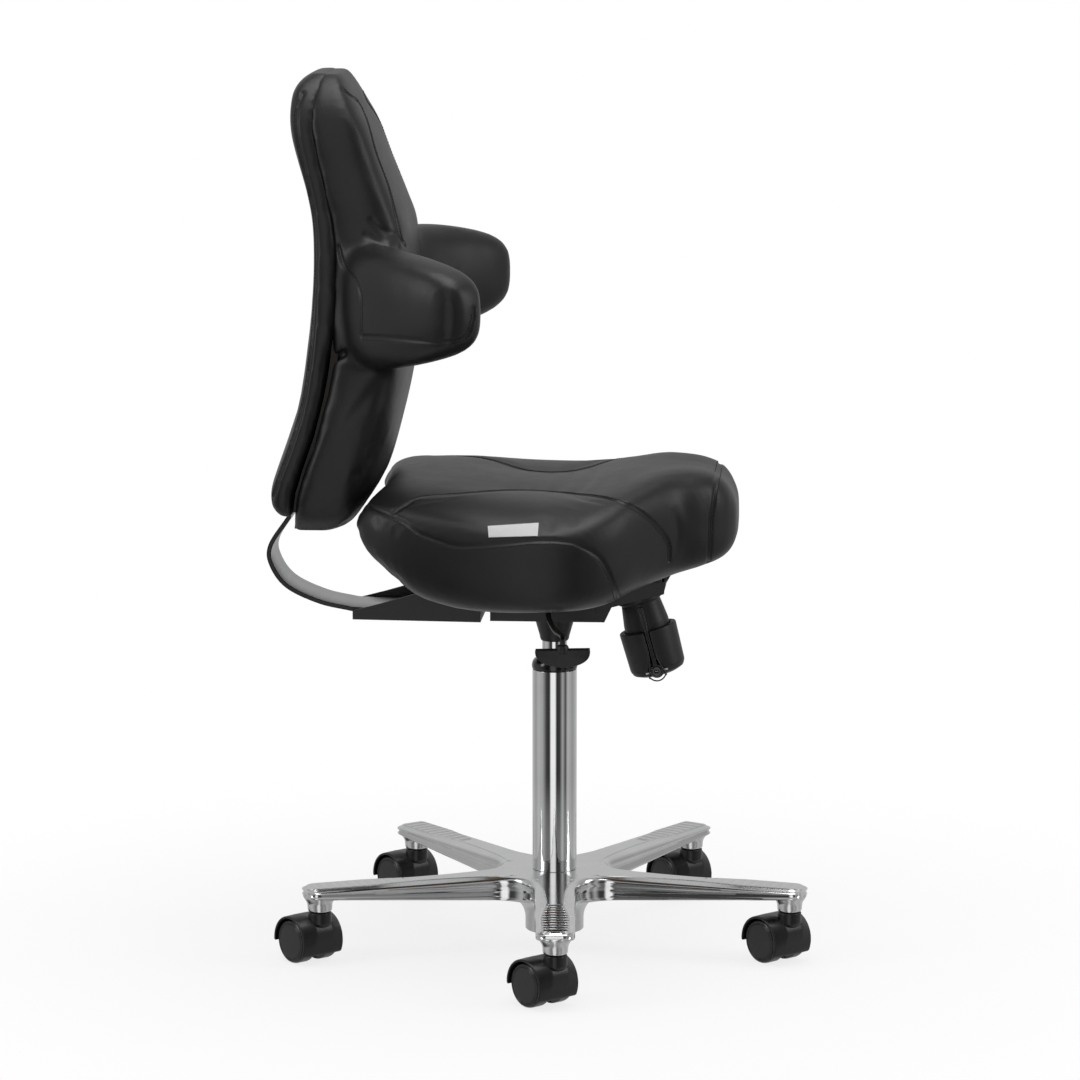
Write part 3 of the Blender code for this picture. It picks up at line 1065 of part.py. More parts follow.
def pan_outline(grow=0.0):
    """Plan of the seat pan, a rounded rectangle, optionally grown all round."""
    back, front = PAN_BACK - grow, PAN_FRONT + grow
    half, corner = PAN_HALF_WIDTH + grow, PAN_CORNER + grow
    outline = arc((front - corner, -half + corner), corner, -math.pi / 2, 0.0, 5)
    outline += arc((front - corner, half - corner), corner, 0.0, math.pi / 2, 5)
    outline += arc((back + corner, half - corner), corner, math.pi / 2, math.pi, 5)
    outline += arc((back + corner, -half + corner), corner, math.pi, 1.5 * math.pi, 5)
    return outline


def make_seat(tilt, offset):
    pan_low = FRAME_UNDERSIDE + FRAME_PLATE + FIT
    pan_top = pan_low + PAN_THICK
    pan = prism("seat_pan", pan_outline(), pan_low, pan_top, "plywood", tilt, offset=offset)

    rings = []
    count = 24
    stations = [-0.190, -0.187, -0.178, -0.160, -0.130, -0.090, -0.045, 0.000, 0.040, 0.075,
                0.100, 0.125, 0.150, 0.175, 0.193, 0.203, 0.209]
    for x in stations:
        top, low = (FRAME_UNDERSIDE + spline(table, x) for table in (SEAT_TOP, SEAT_BOTTOM))
        half = SEAT_HALF_WIDTH - spline(SEAT_NARROWING, x)
        ring = []
        for j in range(count):
            turn = 2 * math.pi * (j + 0.5) / count
            c, s = math.cos(turn), math.sin(turn)
            y = half * math.copysign(abs(c) ** 0.55, c)
            z = (top + low) / 2 + (top - low) / 2 * math.copysign(abs(s) ** 0.55, s)
            rear = min(max((-0.110 - x) / 0.080, 0.0), 1.0)
            ring.append((x - SEAT_REAR_BOW * rear * (y / half) ** 2, y, z))
        rings.append(ring)
    cushion = loft("seat_cushion", rings, "leather", tilt, offset=offset, sharp=60.0)
    below = FRAME_UNDERSIDE - 0.07
    recess = prism("pan_recess", pan_outline(PAN_ROOM), below, pan_top + FIT, "leather", tilt,
                   offset=offset)
    room = FRAME_HALF_WIDTH + 0.003
    channel_room = box("channel_room", (FRAME_BACK - 0.045, -room, below),
                       (FRAME_BACK + 0.010, room, FRAME_UNDERSIDE + 0.003), "leather", tilt,
                       offset=offset)
    cut(cushion, recess, channel_room)

    head_top = FRAME_UNDERSIDE - FIT
    cut(pan, gather("pan_holes", seat_bolt_holes("pan_bolt_hole", tilt, offset)))
    for number, (x, y) in enumerate(seat_bolt_places(), 1):
        bolt = turned("seat_bolt_%d" % number, [
            (0.0, head_top - 0.0035), (SEAT_BOLT_HEAD - 0.001, head_top - 0.0032),
            (SEAT_BOLT_HEAD, head_top - 0.0015), (SEAT_BOLT_HEAD, head_top),
            (SEAT_BOLT_RADIUS, head_top),
            (SEAT_BOLT_RADIUS, pan_top - 0.003), (0.0, pan_top - 0.003)], "steel", tilt, steps=12)
        bolt.location = Vector(offset) + Vector((x, y, 0.0))


def main():
    clear_scene()
    assembly = empty("assembly", (COLUMN_X, COLUMN_Y, 0.0))
    make_base(assembly)
    for number in range(1, LEG_COUNT + 1):
        make_caster(number, assembly)
    lift = make_column(assembly)
    make_mechanism(lift)
    make_knob(lift)
    make_lever(lift)
    tilt = empty("seat_tilt_axis", (AXLE_X, 0.0, AXLE_Z), lift)
    offset = (-AXLE_X, 0.0, -AXLE_Z)
    make_tilt_frame(tilt, offset)
    make_bar(tilt, offset)
    make_back(tilt, offset)
    make_seat(tilt, offset)


main()
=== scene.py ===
import json
import math

import bmesh
import bpy
from mathutils import Matrix, Vector
from mathutils.bvhtree import BVHTree
from mathutils.kdtree import KDTree


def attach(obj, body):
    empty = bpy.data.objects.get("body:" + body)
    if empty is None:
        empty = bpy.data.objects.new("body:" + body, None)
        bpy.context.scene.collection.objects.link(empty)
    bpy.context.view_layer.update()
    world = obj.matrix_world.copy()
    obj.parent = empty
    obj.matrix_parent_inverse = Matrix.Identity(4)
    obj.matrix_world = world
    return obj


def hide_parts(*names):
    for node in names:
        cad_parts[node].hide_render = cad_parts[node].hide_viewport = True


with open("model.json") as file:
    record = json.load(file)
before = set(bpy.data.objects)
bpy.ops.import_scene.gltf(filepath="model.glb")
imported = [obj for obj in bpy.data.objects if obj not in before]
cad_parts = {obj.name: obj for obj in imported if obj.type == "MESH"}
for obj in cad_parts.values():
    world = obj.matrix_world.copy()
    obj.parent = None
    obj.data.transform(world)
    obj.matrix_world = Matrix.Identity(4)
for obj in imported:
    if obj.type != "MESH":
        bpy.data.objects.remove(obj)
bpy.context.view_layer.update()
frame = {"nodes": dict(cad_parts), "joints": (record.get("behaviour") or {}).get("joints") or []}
jointNamed = {joint["name"]: joint for joint in frame["joints"]}
columnAxis = Vector(jointNamed["seat_swivel"]["pos_m"]) * Vector((1, 1, 0))   # all shapes are drawn about it
print("frame loaded:", len(frame["nodes"]), "nodes")


class Wire:
    # an output socket, so that shader maths is written as plain expressions
    def __init__(self, graph, socket):
        self.graph = graph
        self.socket = socket

    def maths(self, operation, *others, flipped=False):
        pair = [self, *others]
        if flipped:
            pair.reverse()
        return self.graph.node("ShaderNodeMath", {"operation": operation}, dict(enumerate(pair)))

    def __add__(self, other):
        return self.maths("ADD", other)

    def __sub__(self, other):
        return self.maths("SUBTRACT", other)

    def __mul__(self, other):
        return self.maths("MULTIPLY", other)

    def __truediv__(self, other):
        return self.maths("DIVIDE", other)

    def __pow__(self, other):
        return self.maths("POWER", other)

    def __rsub__(self, other):
        return self.maths("SUBTRACT", other, flipped=True)

    def __rtruediv__(self, other):
        return self.maths("DIVIDE", other, flipped=True)

    __radd__ = __add__
    __rmul__ = __mul__

    def ramp(self, low, high, start=0.0, end=1.0):
        # start below low, end above high, smooth between
        return self.graph.node("ShaderNodeMapRange", {"interpolation_type": "SMOOTHSTEP"},
                               {0: self, 1: low, 2: high, 3: start, 4: end})


class Graph:
    # the node tree of one material
    def __init__(self, name):
        self.material = bpy.data.materials.new(name)
        self.material.use_nodes = True
        self.tree = self.material.node_tree
        self.tree.nodes.clear()
        self.place = self.node("ShaderNodeTexCoord", {}, {}, out="Object")

    def node(self, kind, settings, sockets, out=0):
        made = self.tree.nodes.new(kind)
        for name, value in settings.items():
            if name == "stops":
                for position, shade in value[len(made.color_ramp.elements):]:
                    made.color_ramp.elements.new(position)
                for element, (position, shade) in zip(made.color_ramp.elements, value):
                    element.position = position
                    element.color = (*shade, 1.0)
            else:
                setattr(made, name, value)
        for name, value in sockets.items():
            if isinstance(value, Wire):
                self.tree.links.new(value.socket, made.inputs[name])
            else:
                made.inputs[name].default_value = value
        return Wire(self, made.outputs[out])

    def split(self, vector):
        made = self.tree.nodes.new("ShaderNodeSeparateXYZ")
        self.tree.links.new(vector.socket, made.inputs[0])
        return [Wire(self, made.outputs[i]) for i in range(3)]

    def stretched(self, x, y, z):
        return self.node("ShaderNodeVectorMath", {"operation": "MULTIPLY"}, {0: self.place, 1: (x, y, z)})

    def noise(self, scale, detail=2.0, rough=0.5, vector=None):
        return self.node("ShaderNodeTexNoise", {},
                         {"Vector": vector or self.place, "Scale": scale, "Detail": detail,
                          "Roughness": rough})

    def mix(self, factor, first, second):
        return self.node("ShaderNodeMix", {"data_type": "RGBA"},
                         {0: factor, 6: (*first, 1.0) if isinstance(first, tuple) else first,
                          7: (*second, 1.0) if isinstance(second, tuple) else second}, out=2)

    def bump(self, height, distance, strength=1.0, below=None):
        sockets = {"Height": height, "Distance": distance, "Strength": strength}
        if below:
            sockets["Normal"] = below
        return self.node("ShaderNodeBump", {}, sockets)

    def surface(self, **sockets):
        named = {name.replace("_", " "): value for name, value in sockets.items()}
        shader = self.node("ShaderNodeBsdfPrincipled", {}, named)
        end = self.tree.nodes.new("ShaderNodeOutputMaterial")
        self.tree.links.new(shader.socket, end.inputs["Surface"])
        return self.material


def grey(value, tint=0.0):
    return (value * (1 - tint), value, value * (1 + tint))


leatherLook = {"dark": 0.0060, "light": 0.0100, "rough": 0.42, "grain": 1100.0, "grainDepth": 0.00012,
               "crease": 34.0, "creaseDepth": 0.0009}


def leather(name, rough=None):
    g = Graph(name)
    look = leatherLook
    rough = rough or look["rough"]
    patches = g.noise(9.0, 3.0, 0.55)
    cells = g.node("ShaderNodeTexVoronoi", {"feature": "SMOOTH_F1"},
                   {"Vector": g.place, "Scale": look["grain"], "Smoothness": 0.4})
    pores = g.noise(look["grain"] * 2.2, 2.0, 0.6)
    pull = g.noise(look["crease"], 2.0, 0.5, g.stretched(1.0, 0.6, 0.45))
    shade = g.mix(patches.ramp(0.35, 0.70), grey(look["dark"], 0.01), grey(look["light"], 0.01))
    wear = g.noise(60.0, 4.0, 0.6)
    coarse = g.bump(pull, look["creaseDepth"], 0.35)
    fine = g.bump(cells * 0.7 + pores * 0.3, look["grainDepth"], 0.55, coarse)
    return g.surface(Base_Color=shade, Roughness=wear * 0.10 + patches * 0.08 + (rough - 0.09),
                     Specular_IOR_Level=0.42, Normal=fine)


def thread(name, shade):
    g = Graph(name)
    twist = g.node("ShaderNodeTexWave", {"bands_direction": "DIAGONAL"},
                   {"Vector": g.place, "Scale": 620.0, "Distortion": 1.5})
    return g.surface(Base_Color=g.mix(twist, grey(shade * 0.6), grey(shade * 1.4)), Roughness=0.75,
                     Normal=g.bump(twist, 0.0002, 0.6))


def metal(name, shade, rough, streak, streakDepth, along="radial", spots=0.03):
    # polished or brushed metal; fine lines run outwards from the column's axis, or along z
    g = Graph(name)
    x, y, z = g.split(g.node("ShaderNodeVectorMath", {"operation": "SUBTRACT"},
                             {0: g.place, 1: tuple(columnAxis)}))
    if along == "radial":
        turn = g.node("ShaderNodeMath", {"operation": "ARCTAN2"}, {0: y, 1: x})
        reach = (x * x + y * y) ** 0.5
        across = g.node("ShaderNodeCombineXYZ", {}, {0: turn * 3.0, 1: reach * 0.35, 2: z * 1.2})
    elif along == "round":
        across = g.node("ShaderNodeCombineXYZ", {}, {0: x * 0.02, 1: y * 0.02, 2: z})
    else:
        across = g.node("ShaderNodeCombineXYZ", {}, {0: x, 1: y, 2: z * 0.03})
    lines = g.noise(streak, 3.0, 0.7, across)
    clouds = g.noise(22.0, 3.0, 0.6)
    tone = g.mix(clouds.ramp(0.3, 0.75), grey(shade * 0.94, 0.004), grey(shade, 0.006))
    return g.surface(Base_Color=tone, Metallic=1.0,
                     Roughness=lines * (spots * 2) + clouds * spots + (rough - spots * 1.5),
                     Normal=g.bump(lines, streakDepth, 0.5))


def plastic(name, shade, rough, grain, depth, coat=0.0):
    g = Graph(name)
    fine = g.noise(grain, 2.0, 0.6)
    wide = g.noise(30.0, 3.0, 0.5)
    tone = g.mix(wide.ramp(0.3, 0.7), grey(shade * 0.85), grey(shade * 1.15))
    return g.surface(Base_Color=tone, Roughness=wide * 0.08 + fine * 0.05 + (rough - 0.065),
                     Coat_Weight=coat, Coat_Roughness=0.12, Normal=g.bump(fine, depth, 0.6))


def wood(name, stain=1.0):
    g = Graph(name)
    z = g.split(g.place)[2]
    plies = (z * 4200.0).maths("SINE").ramp(-0.2, 0.2)
    grain = g.noise(55.0, 4.0, 0.6, g.stretched(0.4, 3.0, 0.4))
    pale, warm, glue = (tuple(c * stain for c in tone) for tone in
                        ((0.36, 0.22, 0.115), (0.52, 0.36, 0.20), (0.24, 0.14, 0.07)))
    veneer = g.mix(grain.ramp(0.3, 0.7), pale, warm)
    return g.surface(Base_Color=g.mix(plies * 0.25, veneer, glue), Roughness=grain * 0.2 + 0.5,
                     Normal=g.bump(grain, 0.0003, 0.5))


def wovenTab(name):
    g = Graph(name)
    x, _, z = g.split(g.place)
    weft = (z * 9000.0).maths("SINE")
    warp = (x * 9000.0).maths("SINE")
    cloth = (weft * warp).ramp(-0.6, 0.6)
    return g.surface(Base_Color=g.mix(cloth, grey(0.62), grey(0.80)), Roughness=0.7,
                     Normal=g.bump(cloth, 0.0002, 0.5))


look = {
    "leather": leather("blackLeather"),
    "thread": thread("blackThread", 0.010),
    "polish": metal("polishedAluminium", 0.80, 0.11, 160.0, 0.00002),
    "brush": metal("brushedAluminium", 0.86, 0.27, 300.0, 0.00006),
    "satin": metal("satinAluminium", 0.78, 0.24, 260.0, 0.00005, "round"),
    "chrome": metal("chrome", 0.80, 0.06, 500.0, 0.00001, "up", 0.015),
    "zinc": metal("zincSteel", 0.52, 0.34, 220.0, 0.00003, "up"),
    # the bar's inner face: grey metal colour that paints in the white studio's reflection on the black bar
    "paintedReflectionBarFace": metal("barFacePaintedReflection", 0.60, 0.38, 240.0, 0.00004, "round"),
    "powder": plastic("blackPowderCoat", 0.0055, 0.42, 900.0, 0.00012),
    "gloss": plastic("glossBlackPlastic", 0.0045, 0.20, 600.0, 0.00003, 0.3),
    "knob": plastic("knobPlastic", 0.0085, 0.46, 1500.0, 0.00008),
    "hood": plastic("hoodNylon", 0.0050, 0.34, 1100.0, 0.00006),
    "wheel": plastic("wheelNylon", 0.0040, 0.26, 700.0, 0.00003, 0.2),
    "rubber": plastic("rubber", 0.0160, 0.72, 800.0, 0.0001),
    "wood": wood("plywood"),
    "darkWood": wood("stainedPlywood", 0.02),
    "tab": wovenTab("whiteTab"),
}
print("materials made")


def piece(name, points, faces, looks, body, replaces=(), faceLooks=None, sharp=40.0, origin=None):
    # a mesh object that rides on a body; points are about the column's axis unless origin is given
    shift = columnAxis if origin is None else origin
    mesh = bpy.data.meshes.new(name)
    mesh.from_pydata([tuple(Vector(p) + shift) for p in points], [], faces)
    for item in looks:
        mesh.materials.append(look[item])
    if faceLooks is not None:
        mesh.polygons.foreach_set("material_index", faceLooks)
    form = bmesh.new()
    form.from_mesh(mesh)
    bmesh.ops.remove_doubles(form, verts=form.verts, dist=2e-6)
    bmesh.ops.recalc_face_normals(form, faces=form.faces)
    form.to_mesh(mesh)
    form.free()
    mesh.shade_smooth()
    mesh.set_sharp_from_angle(angle=math.radians(sharp))
    made = bpy.data.objects.new(name, mesh)
    bpy.context.scene.collection.objects.link(made)
    settle(made, body, replaces)
    return made


def settle(made, body, replaces):
    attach(made, body)
    if replaces:
        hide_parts(*replaces)


def bevelled(made, width, segments=2, angle=30.0):
    step = made.modifiers.new("edges", "BEVEL")
    step.width = width
    step.segments = segments
    step.limit_method = "ANGLE"
    step.angle_limit = math.radians(angle)
    step.harden_normals = True
    return made


def skin(rings, start=0, closed=True, caps=True):
    # faces over rings of equal length; closed rings join end to start
    count = len(rings[0])
    faces = []
    for i in range(len(rings) - 1):
        low = start + i * count
        high = low + count
        for j in range(count if closed else count - 1):
            k = (j + 1) % count
            faces.append((low + j, low + k, high + k, high + j))
    if caps:
        faces.append(tuple(range(start + count - 1, start - 1, -1)))
        faces.append(tuple(range(start + (len(rings) - 1) * count, start + len(rings) * count)))
    return faces


def softened(outline, radius, steps=3, closed=False):
    # the outline with each corner rounded
    outline = [Vector(p) for p in outline]
    made = []
    count = len(outline)
    for i, point in enumerate(outline):
        if not closed and i in (0, count - 1):
            made.append(point)
            continue
        before = outline[i - 1] - point
        after = outline[(i + 1) % count] - point
        first = point + before.normalized() * min(radius, before.length * 0.45)
        second = point + after.normalized() * min(radius, after.length * 0.45)
        for k in range(steps + 1):
            t = k / steps
            made.append(first * (1 - t) ** 2 + point * 2 * t * (1 - t) + second * t ** 2)
    return made


def turnedShell(profile, steps, place=None, start=0):
    # points and faces of a body of revolution; (radius, height) pairs, ends on the axis or a closed outline
    place = place or Matrix.Identity(4)
    open_ = profile[0][0] < 1e-9
    points = []
    rows = []
    for radius, height in profile:
        if radius < 1e-9:
            rows.append([start + len(points)] * steps)
            points.append(place @ Vector((0.0, 0.0, height)))
            continue
        rows.append([start + len(points) + j for j in range(steps)])
        for j in range(steps):
            turn = 2 * math.pi * j / steps
            points.append(place @ Vector((radius * math.cos(turn), radius * math.sin(turn), height)))
    pairs = list(zip(rows, rows[1:]))
    if not open_:
        pairs.append((rows[-1], rows[0]))
    faces = []
    for low, high in pairs:
        for j in range(steps):
            k = (j + 1) % steps
            face = list(dict.fromkeys((low[j], low[k], high[k], high[j])))
            if len(face) > 2:
                faces.append(tuple(face))
    return points, faces


def tubeShell(path, radius, sides=12, start=0, flat=1.0):
    # a round bar along a path; flat squeezes it across
    rings = []
    side = Vector((1.0, 0.0, 0.0))
    for i, centre in enumerate(path):
        way = (path[min(i + 1, len(path) - 1)] - path[max(i - 1, 0)]).normalized()
        side = side - way * side.dot(way)
        if side.length < 1e-6:
            side = way.orthogonal()
        side.normalize()
        other = way.cross(side)
        rings.append([centre + radius * (math.cos(2 * math.pi * j / sides) * side
                                         + flat * math.sin(2 * math.pi * j / sides) * other)
                      for j in range(sides)])
    return [p for ring in rings for p in ring], skin(rings, start)


def prismShell(outline, low, high, axis="Y", start=0):
    if axis == "Y":
        rings = [[Vector((a, level, b)) for a, b in outline] for level in (low, high)]
    else:
        rings = [[Vector((a, b, level)) for a, b in outline] for level in (low, high)]
    return [p for ring in rings for p in ring], skin(rings, start)


def gathered(*shells):
    points, faces = [], []
    for shellPoints, shellFaces in shells:
        shift = len(points)
        points += list(shellPoints)
        faces += [tuple(index + shift for index in face) for face in shellFaces]
    return points, faces


def follow(stations, at):
    # a smooth value between stations of (place, value)
    places = [p for p, _ in stations]
    values = [v for _, v in stations]
    at = min(max(at, places[0]), places[-1])
    i = max(k for k in range(len(places) - 1) if places[k] <= at)
    slopes = []
    for k in (i, i + 1):
        before, after = max(k - 1, 0), min(k + 1, len(places) - 1)
        slopes.append((values[after] - values[before]) / (places[after] - places[before]))
    width = places[i + 1] - places[i]
    t = (at - places[i]) / width
    return ((2 * t**3 - 3 * t**2 + 1) * values[i] + (t**3 - 2 * t**2 + t) * width * slopes[0]
            + (3 * t**2 - 2 * t**3) * values[i + 1] + (t**3 - t**2) * width * slopes[1])


def curveThrough(points, steps):
    points = [Vector(p) for p in points]
    ends = [2 * points[0] - points[1]] + points + [2 * points[-1] - points[-2]]
    made = []
    for i in range(1, len(ends) - 2):
        a, b, c, d = ends[i - 1:i + 3]
        for k in range(steps):
            t = k / steps
            made.append(0.5 * (2 * b + (c - a) * t + (2 * a - 5 * b + 4 * c - d) * t**2
                               + (3 * b - a - 3 * c + d) * t**3))
    made.append(points[-1])
    return made


def arc(cx, cy, radius, start, end, steps):
    return [(cx + radius * math.cos(math.radians(start + (end - start) * k / steps)),
             cy + radius * math.sin(math.radians(start + (end - start) * k / steps)))
            for k in range(steps + 1)]


shot = {"place": (0.3598, -5.1840, 1.335), "tilt": 80.52, "turn": 4.0, "lens": 156.7, "sensor": 36.0}


def makeCamera():
    data = bpy.data.cameras.new("camera")
    data.lens = shot["lens"]
    data.sensor_width = shot["sensor"]
    data.clip_start = 0.5
    data.clip_end = 60.0
    made = bpy.data.objects.new("camera", data)
    made.location = shot["place"]
    made.rotation_euler = (math.radians(shot["tilt"]), 0.0, math.radians(shot["turn"]))
    bpy.context.scene.collection.objects.link(made)
    bpy.context.scene.camera = made


makeCamera()

stageLook = {"floorFade": (0.30, 0.95), "clearest": 0.80}


def makeStage():
    # a pale round floor that fades into the white surroundings
    g = Graph("floorPale")
    x, y, _ = g.split(g.place)
    reach = (x * x + y * y) ** 0.5
    shader = g.node("ShaderNodeBsdfPrincipled", {},
                    {"Base Color": (0.93, 0.93, 0.93, 1.0), "Roughness": 0.9, "Specular IOR Level": 0.0})
    clear = g.node("ShaderNodeBsdfTransparent", {}, {})
    faded = g.node("ShaderNodeMixShader", {},
                   {0: reach.ramp(*stageLook["floorFade"], stageLook["clearest"], 1.0), 1: shader, 2: clear})
    end = g.tree.nodes.new("ShaderNodeOutputMaterial")
    g.tree.links.new(faded.socket, end.inputs["Surface"])
    points, faces = turnedShell([(0.0, 0.0), (0.3, 0.0), (0.6, 0.0), (1.1, 0.0)], 64)
    mesh = bpy.data.meshes.new("floor")
    mesh.from_pydata([tuple(p) for p in points], [], faces)
    mesh.materials.append(g.material)
    floor = bpy.data.objects.new("floor", mesh)
    floor.location = (0.0, 0.0, -0.0004)
    bpy.context.scene.collection.objects.link(floor)


makeStage()


# the studio round the chair: (azimuth in degrees, brightness), -90 is towards the camera's side
studio = [(-180.0, 0.50), (-152.0, 0.42), (-130.0, 0.06), (-112.0, 0.03), (-104.0, 1.05), (-84.0, 1.05),
          (-76.0, 0.03), (-58.0, 0.05), (-44.0, 0.42), (-28.0, 0.06), (-14.0, 0.52), (20.0, 0.34),
          (60.0, 0.55), (120.0, 0.55), (160.0, 0.36), (180.0, 0.50)]
ceiling = 0.42


def makeWorld():
    world = bpy.data.worlds.new("studio")
    bpy.context.scene.world = world
    world.use_nodes = True
    tree = world.node_tree
    tree.nodes.clear()
    new = tree.nodes.new
    link = tree.links.new
    where = new("ShaderNodeTexCoord")
    parts = new("ShaderNodeSeparateXYZ")
    link(where.outputs["Generated"], parts.inputs[0])
    turn = new("ShaderNodeMath")
    turn.operation = "ARCTAN2"
    link(parts.outputs[1], turn.inputs[0])
    link(parts.outputs[0], turn.inputs[1])
    share = new("ShaderNodeMapRange")
    link(turn.outputs[0], share.inputs[0])
    share.inputs[1].default_value = -math.pi
    share.inputs[2].default_value = math.pi
    panels = new("ShaderNodeValToRGB")
    for azimuth, _ in studio[2:]:
        panels.color_ramp.elements.new((azimuth + 180.0) / 360.0)
    top = max(level for _, level in studio)
    for element, (azimuth, level) in zip(panels.color_ramp.elements, studio):
        element.position = (azimuth + 180.0) / 360.0
        element.color = (level / top, level / top, level / top, 1.0)
    link(share.outputs[0], panels.inputs[0])
    # the ceiling is evenly bright, the panels stand below it
    rise = new("ShaderNodeMapRange")
    rise.interpolation_type = "SMOOTHSTEP"
    link(parts.outputs[2], rise.inputs[0])
    rise.inputs[1].default_value = 0.45
    rise.inputs[2].default_value = 0.80
    mix = new("ShaderNodeMix")
    mix.data_type = "RGBA"
    link(rise.outputs[0], mix.inputs[0])
    link(panels.outputs[0], mix.inputs[6])
    mix.inputs[7].default_value = (ceiling / top, ceiling / top, ceiling / top, 1.0)
    lit = new("ShaderNodeBackground")
    link(mix.outputs[2], lit.inputs[0])
    lit.inputs[1].default_value = top
    seen = new("ShaderNodeBackground")
    seen.inputs[0].default_value = (1.0, 1.0, 1.0, 1.0)
    path = new("ShaderNodeLightPath")
    both = new("ShaderNodeMixShader")
    link(path.outputs["Is Camera Ray"], both.inputs[0])
    link(lit.outputs[0], both.inputs[1])
    link(seen.outputs[0], both.inputs[2])
    end = new("ShaderNodeOutputWorld")
    link(both.outputs[0], end.inputs[0])


makeWorld()
bpy.context.scene.view_settings.view_transform = "Standard"

# (name, place, what it faces, width, height, watts)
lamps = [("softOverhead", (0.1, -0.2, 2.6), (0.0, 0.0, 0.4), 1.6, 1.6, 26.0),
         ("softLeft", (-2.4, -1.2, 1.6), (0.0, 0.0, 0.6), 0.7, 1.8, 16.0),
         ("softRight", (2.5, -0.4, 1.5), (0.0, 0.0, 0.6), 0.6, 1.8, 14.0)]


def makeLamps():
    for name, place, target, width, height, watts in lamps:
        data = bpy.data.lights.new(name, "AREA")
        data.shape = "RECTANGLE"
        data.size = width
        data.size_y = height
        data.energy = watts
        made = bpy.data.objects.new(name, data)
        made.location = place
        way = Vector(target) - Vector(place)
        made.rotation_euler = way.to_track_quat("-Z", "Y").to_euler()
        bpy.context.scene.collection.objects.link(made)


makeLamps()
print("camera, floor and lights set")


base = {
    "legs": 5, "yaw": -86.0, "circle": 0.276, "reach": 0.294, "tipCorner": 0.013,
    "halfRoot": 0.0245, "halfTip": 0.0215, "web": 0.035, "top": 0.090,
    "depthRoot": 0.029, "depthTip": 0.013, "hub": 0.033, "hubBottom": 0.020, "hubFillet": 0.028,
    "boreTop": 0.0247, "boreBottom": 0.0236,
    # half width of the polished middle face along the leg
    "face": [(0.052, 0.0250), (0.080, 0.0155), (0.110, 0.0112), (0.150, 0.0088), (0.170, 0.0087),
             (0.200, 0.0120), (0.235, 0.0160), (0.262, 0.0182), (0.276, 0.0180), (0.284, 0.0155),
             (0.290, 0.0105), (0.294, 0.0060)],
    "groove": 0.0009, "facetDrop": 0.0024, "facetStep": 0.0004, "faceDrop": 0.0006,
    "facetStart": 0.050, "facetRun": 0.030,
    "ridgeStart": 0.177, "ridgeStep": 0.0112, "ridges": 10, "ridgeDepth": 0.0011,
    # side bands: (inset from the outline, share of the leg's depth)
    "bands": [(0.0034, 0.0), (0.0018, 0.035), (0.0006, 0.10), (0.0, 0.19), (0.0003, 0.27), (0.0014, 0.345),
              (0.0021, 0.42), (0.0019, 0.60), (0.0011, 0.72), (0.0004, 0.82), (0.0005, 0.90),
              (0.0014, 0.97), (0.0032, 1.0)],
    "socket": 0.0134, "socketBottom": 0.061, "socketFlare": 0.0188, "stem": 0.0058,
}


def underside(radius):
    # height of the star's underside at a distance from the column's axis
    b = base
    root = b["top"] - b["depthRoot"]
    tip = b["top"] - b["depthTip"]
    start = b["hub"] + b["hubFillet"]
    if radius >= start:
        return root + (tip - root) * (radius - start) / (b["circle"] - start)
    return root - b["hubFillet"] + math.sqrt(max(b["hubFillet"]**2 - (start - radius)**2, 0.0))


def legStations():
    # places along the straight part of a leg, close together at the ridges
    b = base
    made = [0.0808 + 0.0066 * k for k in range(14)]
    for k in range(b["ridges"]):
        centre = b["ridgeStart"] + b["ridgeStep"] * k
        made += [centre + step for step in (-0.0017, -0.0009, 0.0, 0.0009, 0.0017, 0.0048)]
    return [s for s in made if s < b["reach"] - b["tipCorner"] - 0.0005]


def legHalf(inset):
    # one side of a leg in plan, from the web to the tip: (along, across)
    b = base
    half = math.pi / b["legs"]
    taper = (b["halfRoot"] - b["halfTip"]) / b["reach"]
    stretch = math.hypot(1.0, taper)
    middle = (b["web"] * stretch + b["halfRoot"]) / (math.sin(half) + taper * math.cos(half))
    cx, cy = middle * math.cos(half), middle * math.sin(half)
    radius = b["web"] + inset
    lean = math.atan(taper)
    made = []
    first = math.pi + half
    last = 1.5 * math.pi - lean
    for k in range(12):
        turn = first + (last - first) * k / 12
        made.append((cx + radius * math.cos(turn), cy + radius * math.sin(turn)))
    for s in legStations():
        made.append((s, b["halfRoot"] - taper * s - inset * stretch))
    corner = max(b["tipCorner"] - inset, 0.004)
    endX = b["reach"] - inset - corner
    endY = b["halfTip"] - inset - corner
    for k in range(9):
        turn = math.pi / 2 * (1 - k / 8)
        made.append((endX + corner * math.cos(turn), endY + corner * math.sin(turn)))
    return made


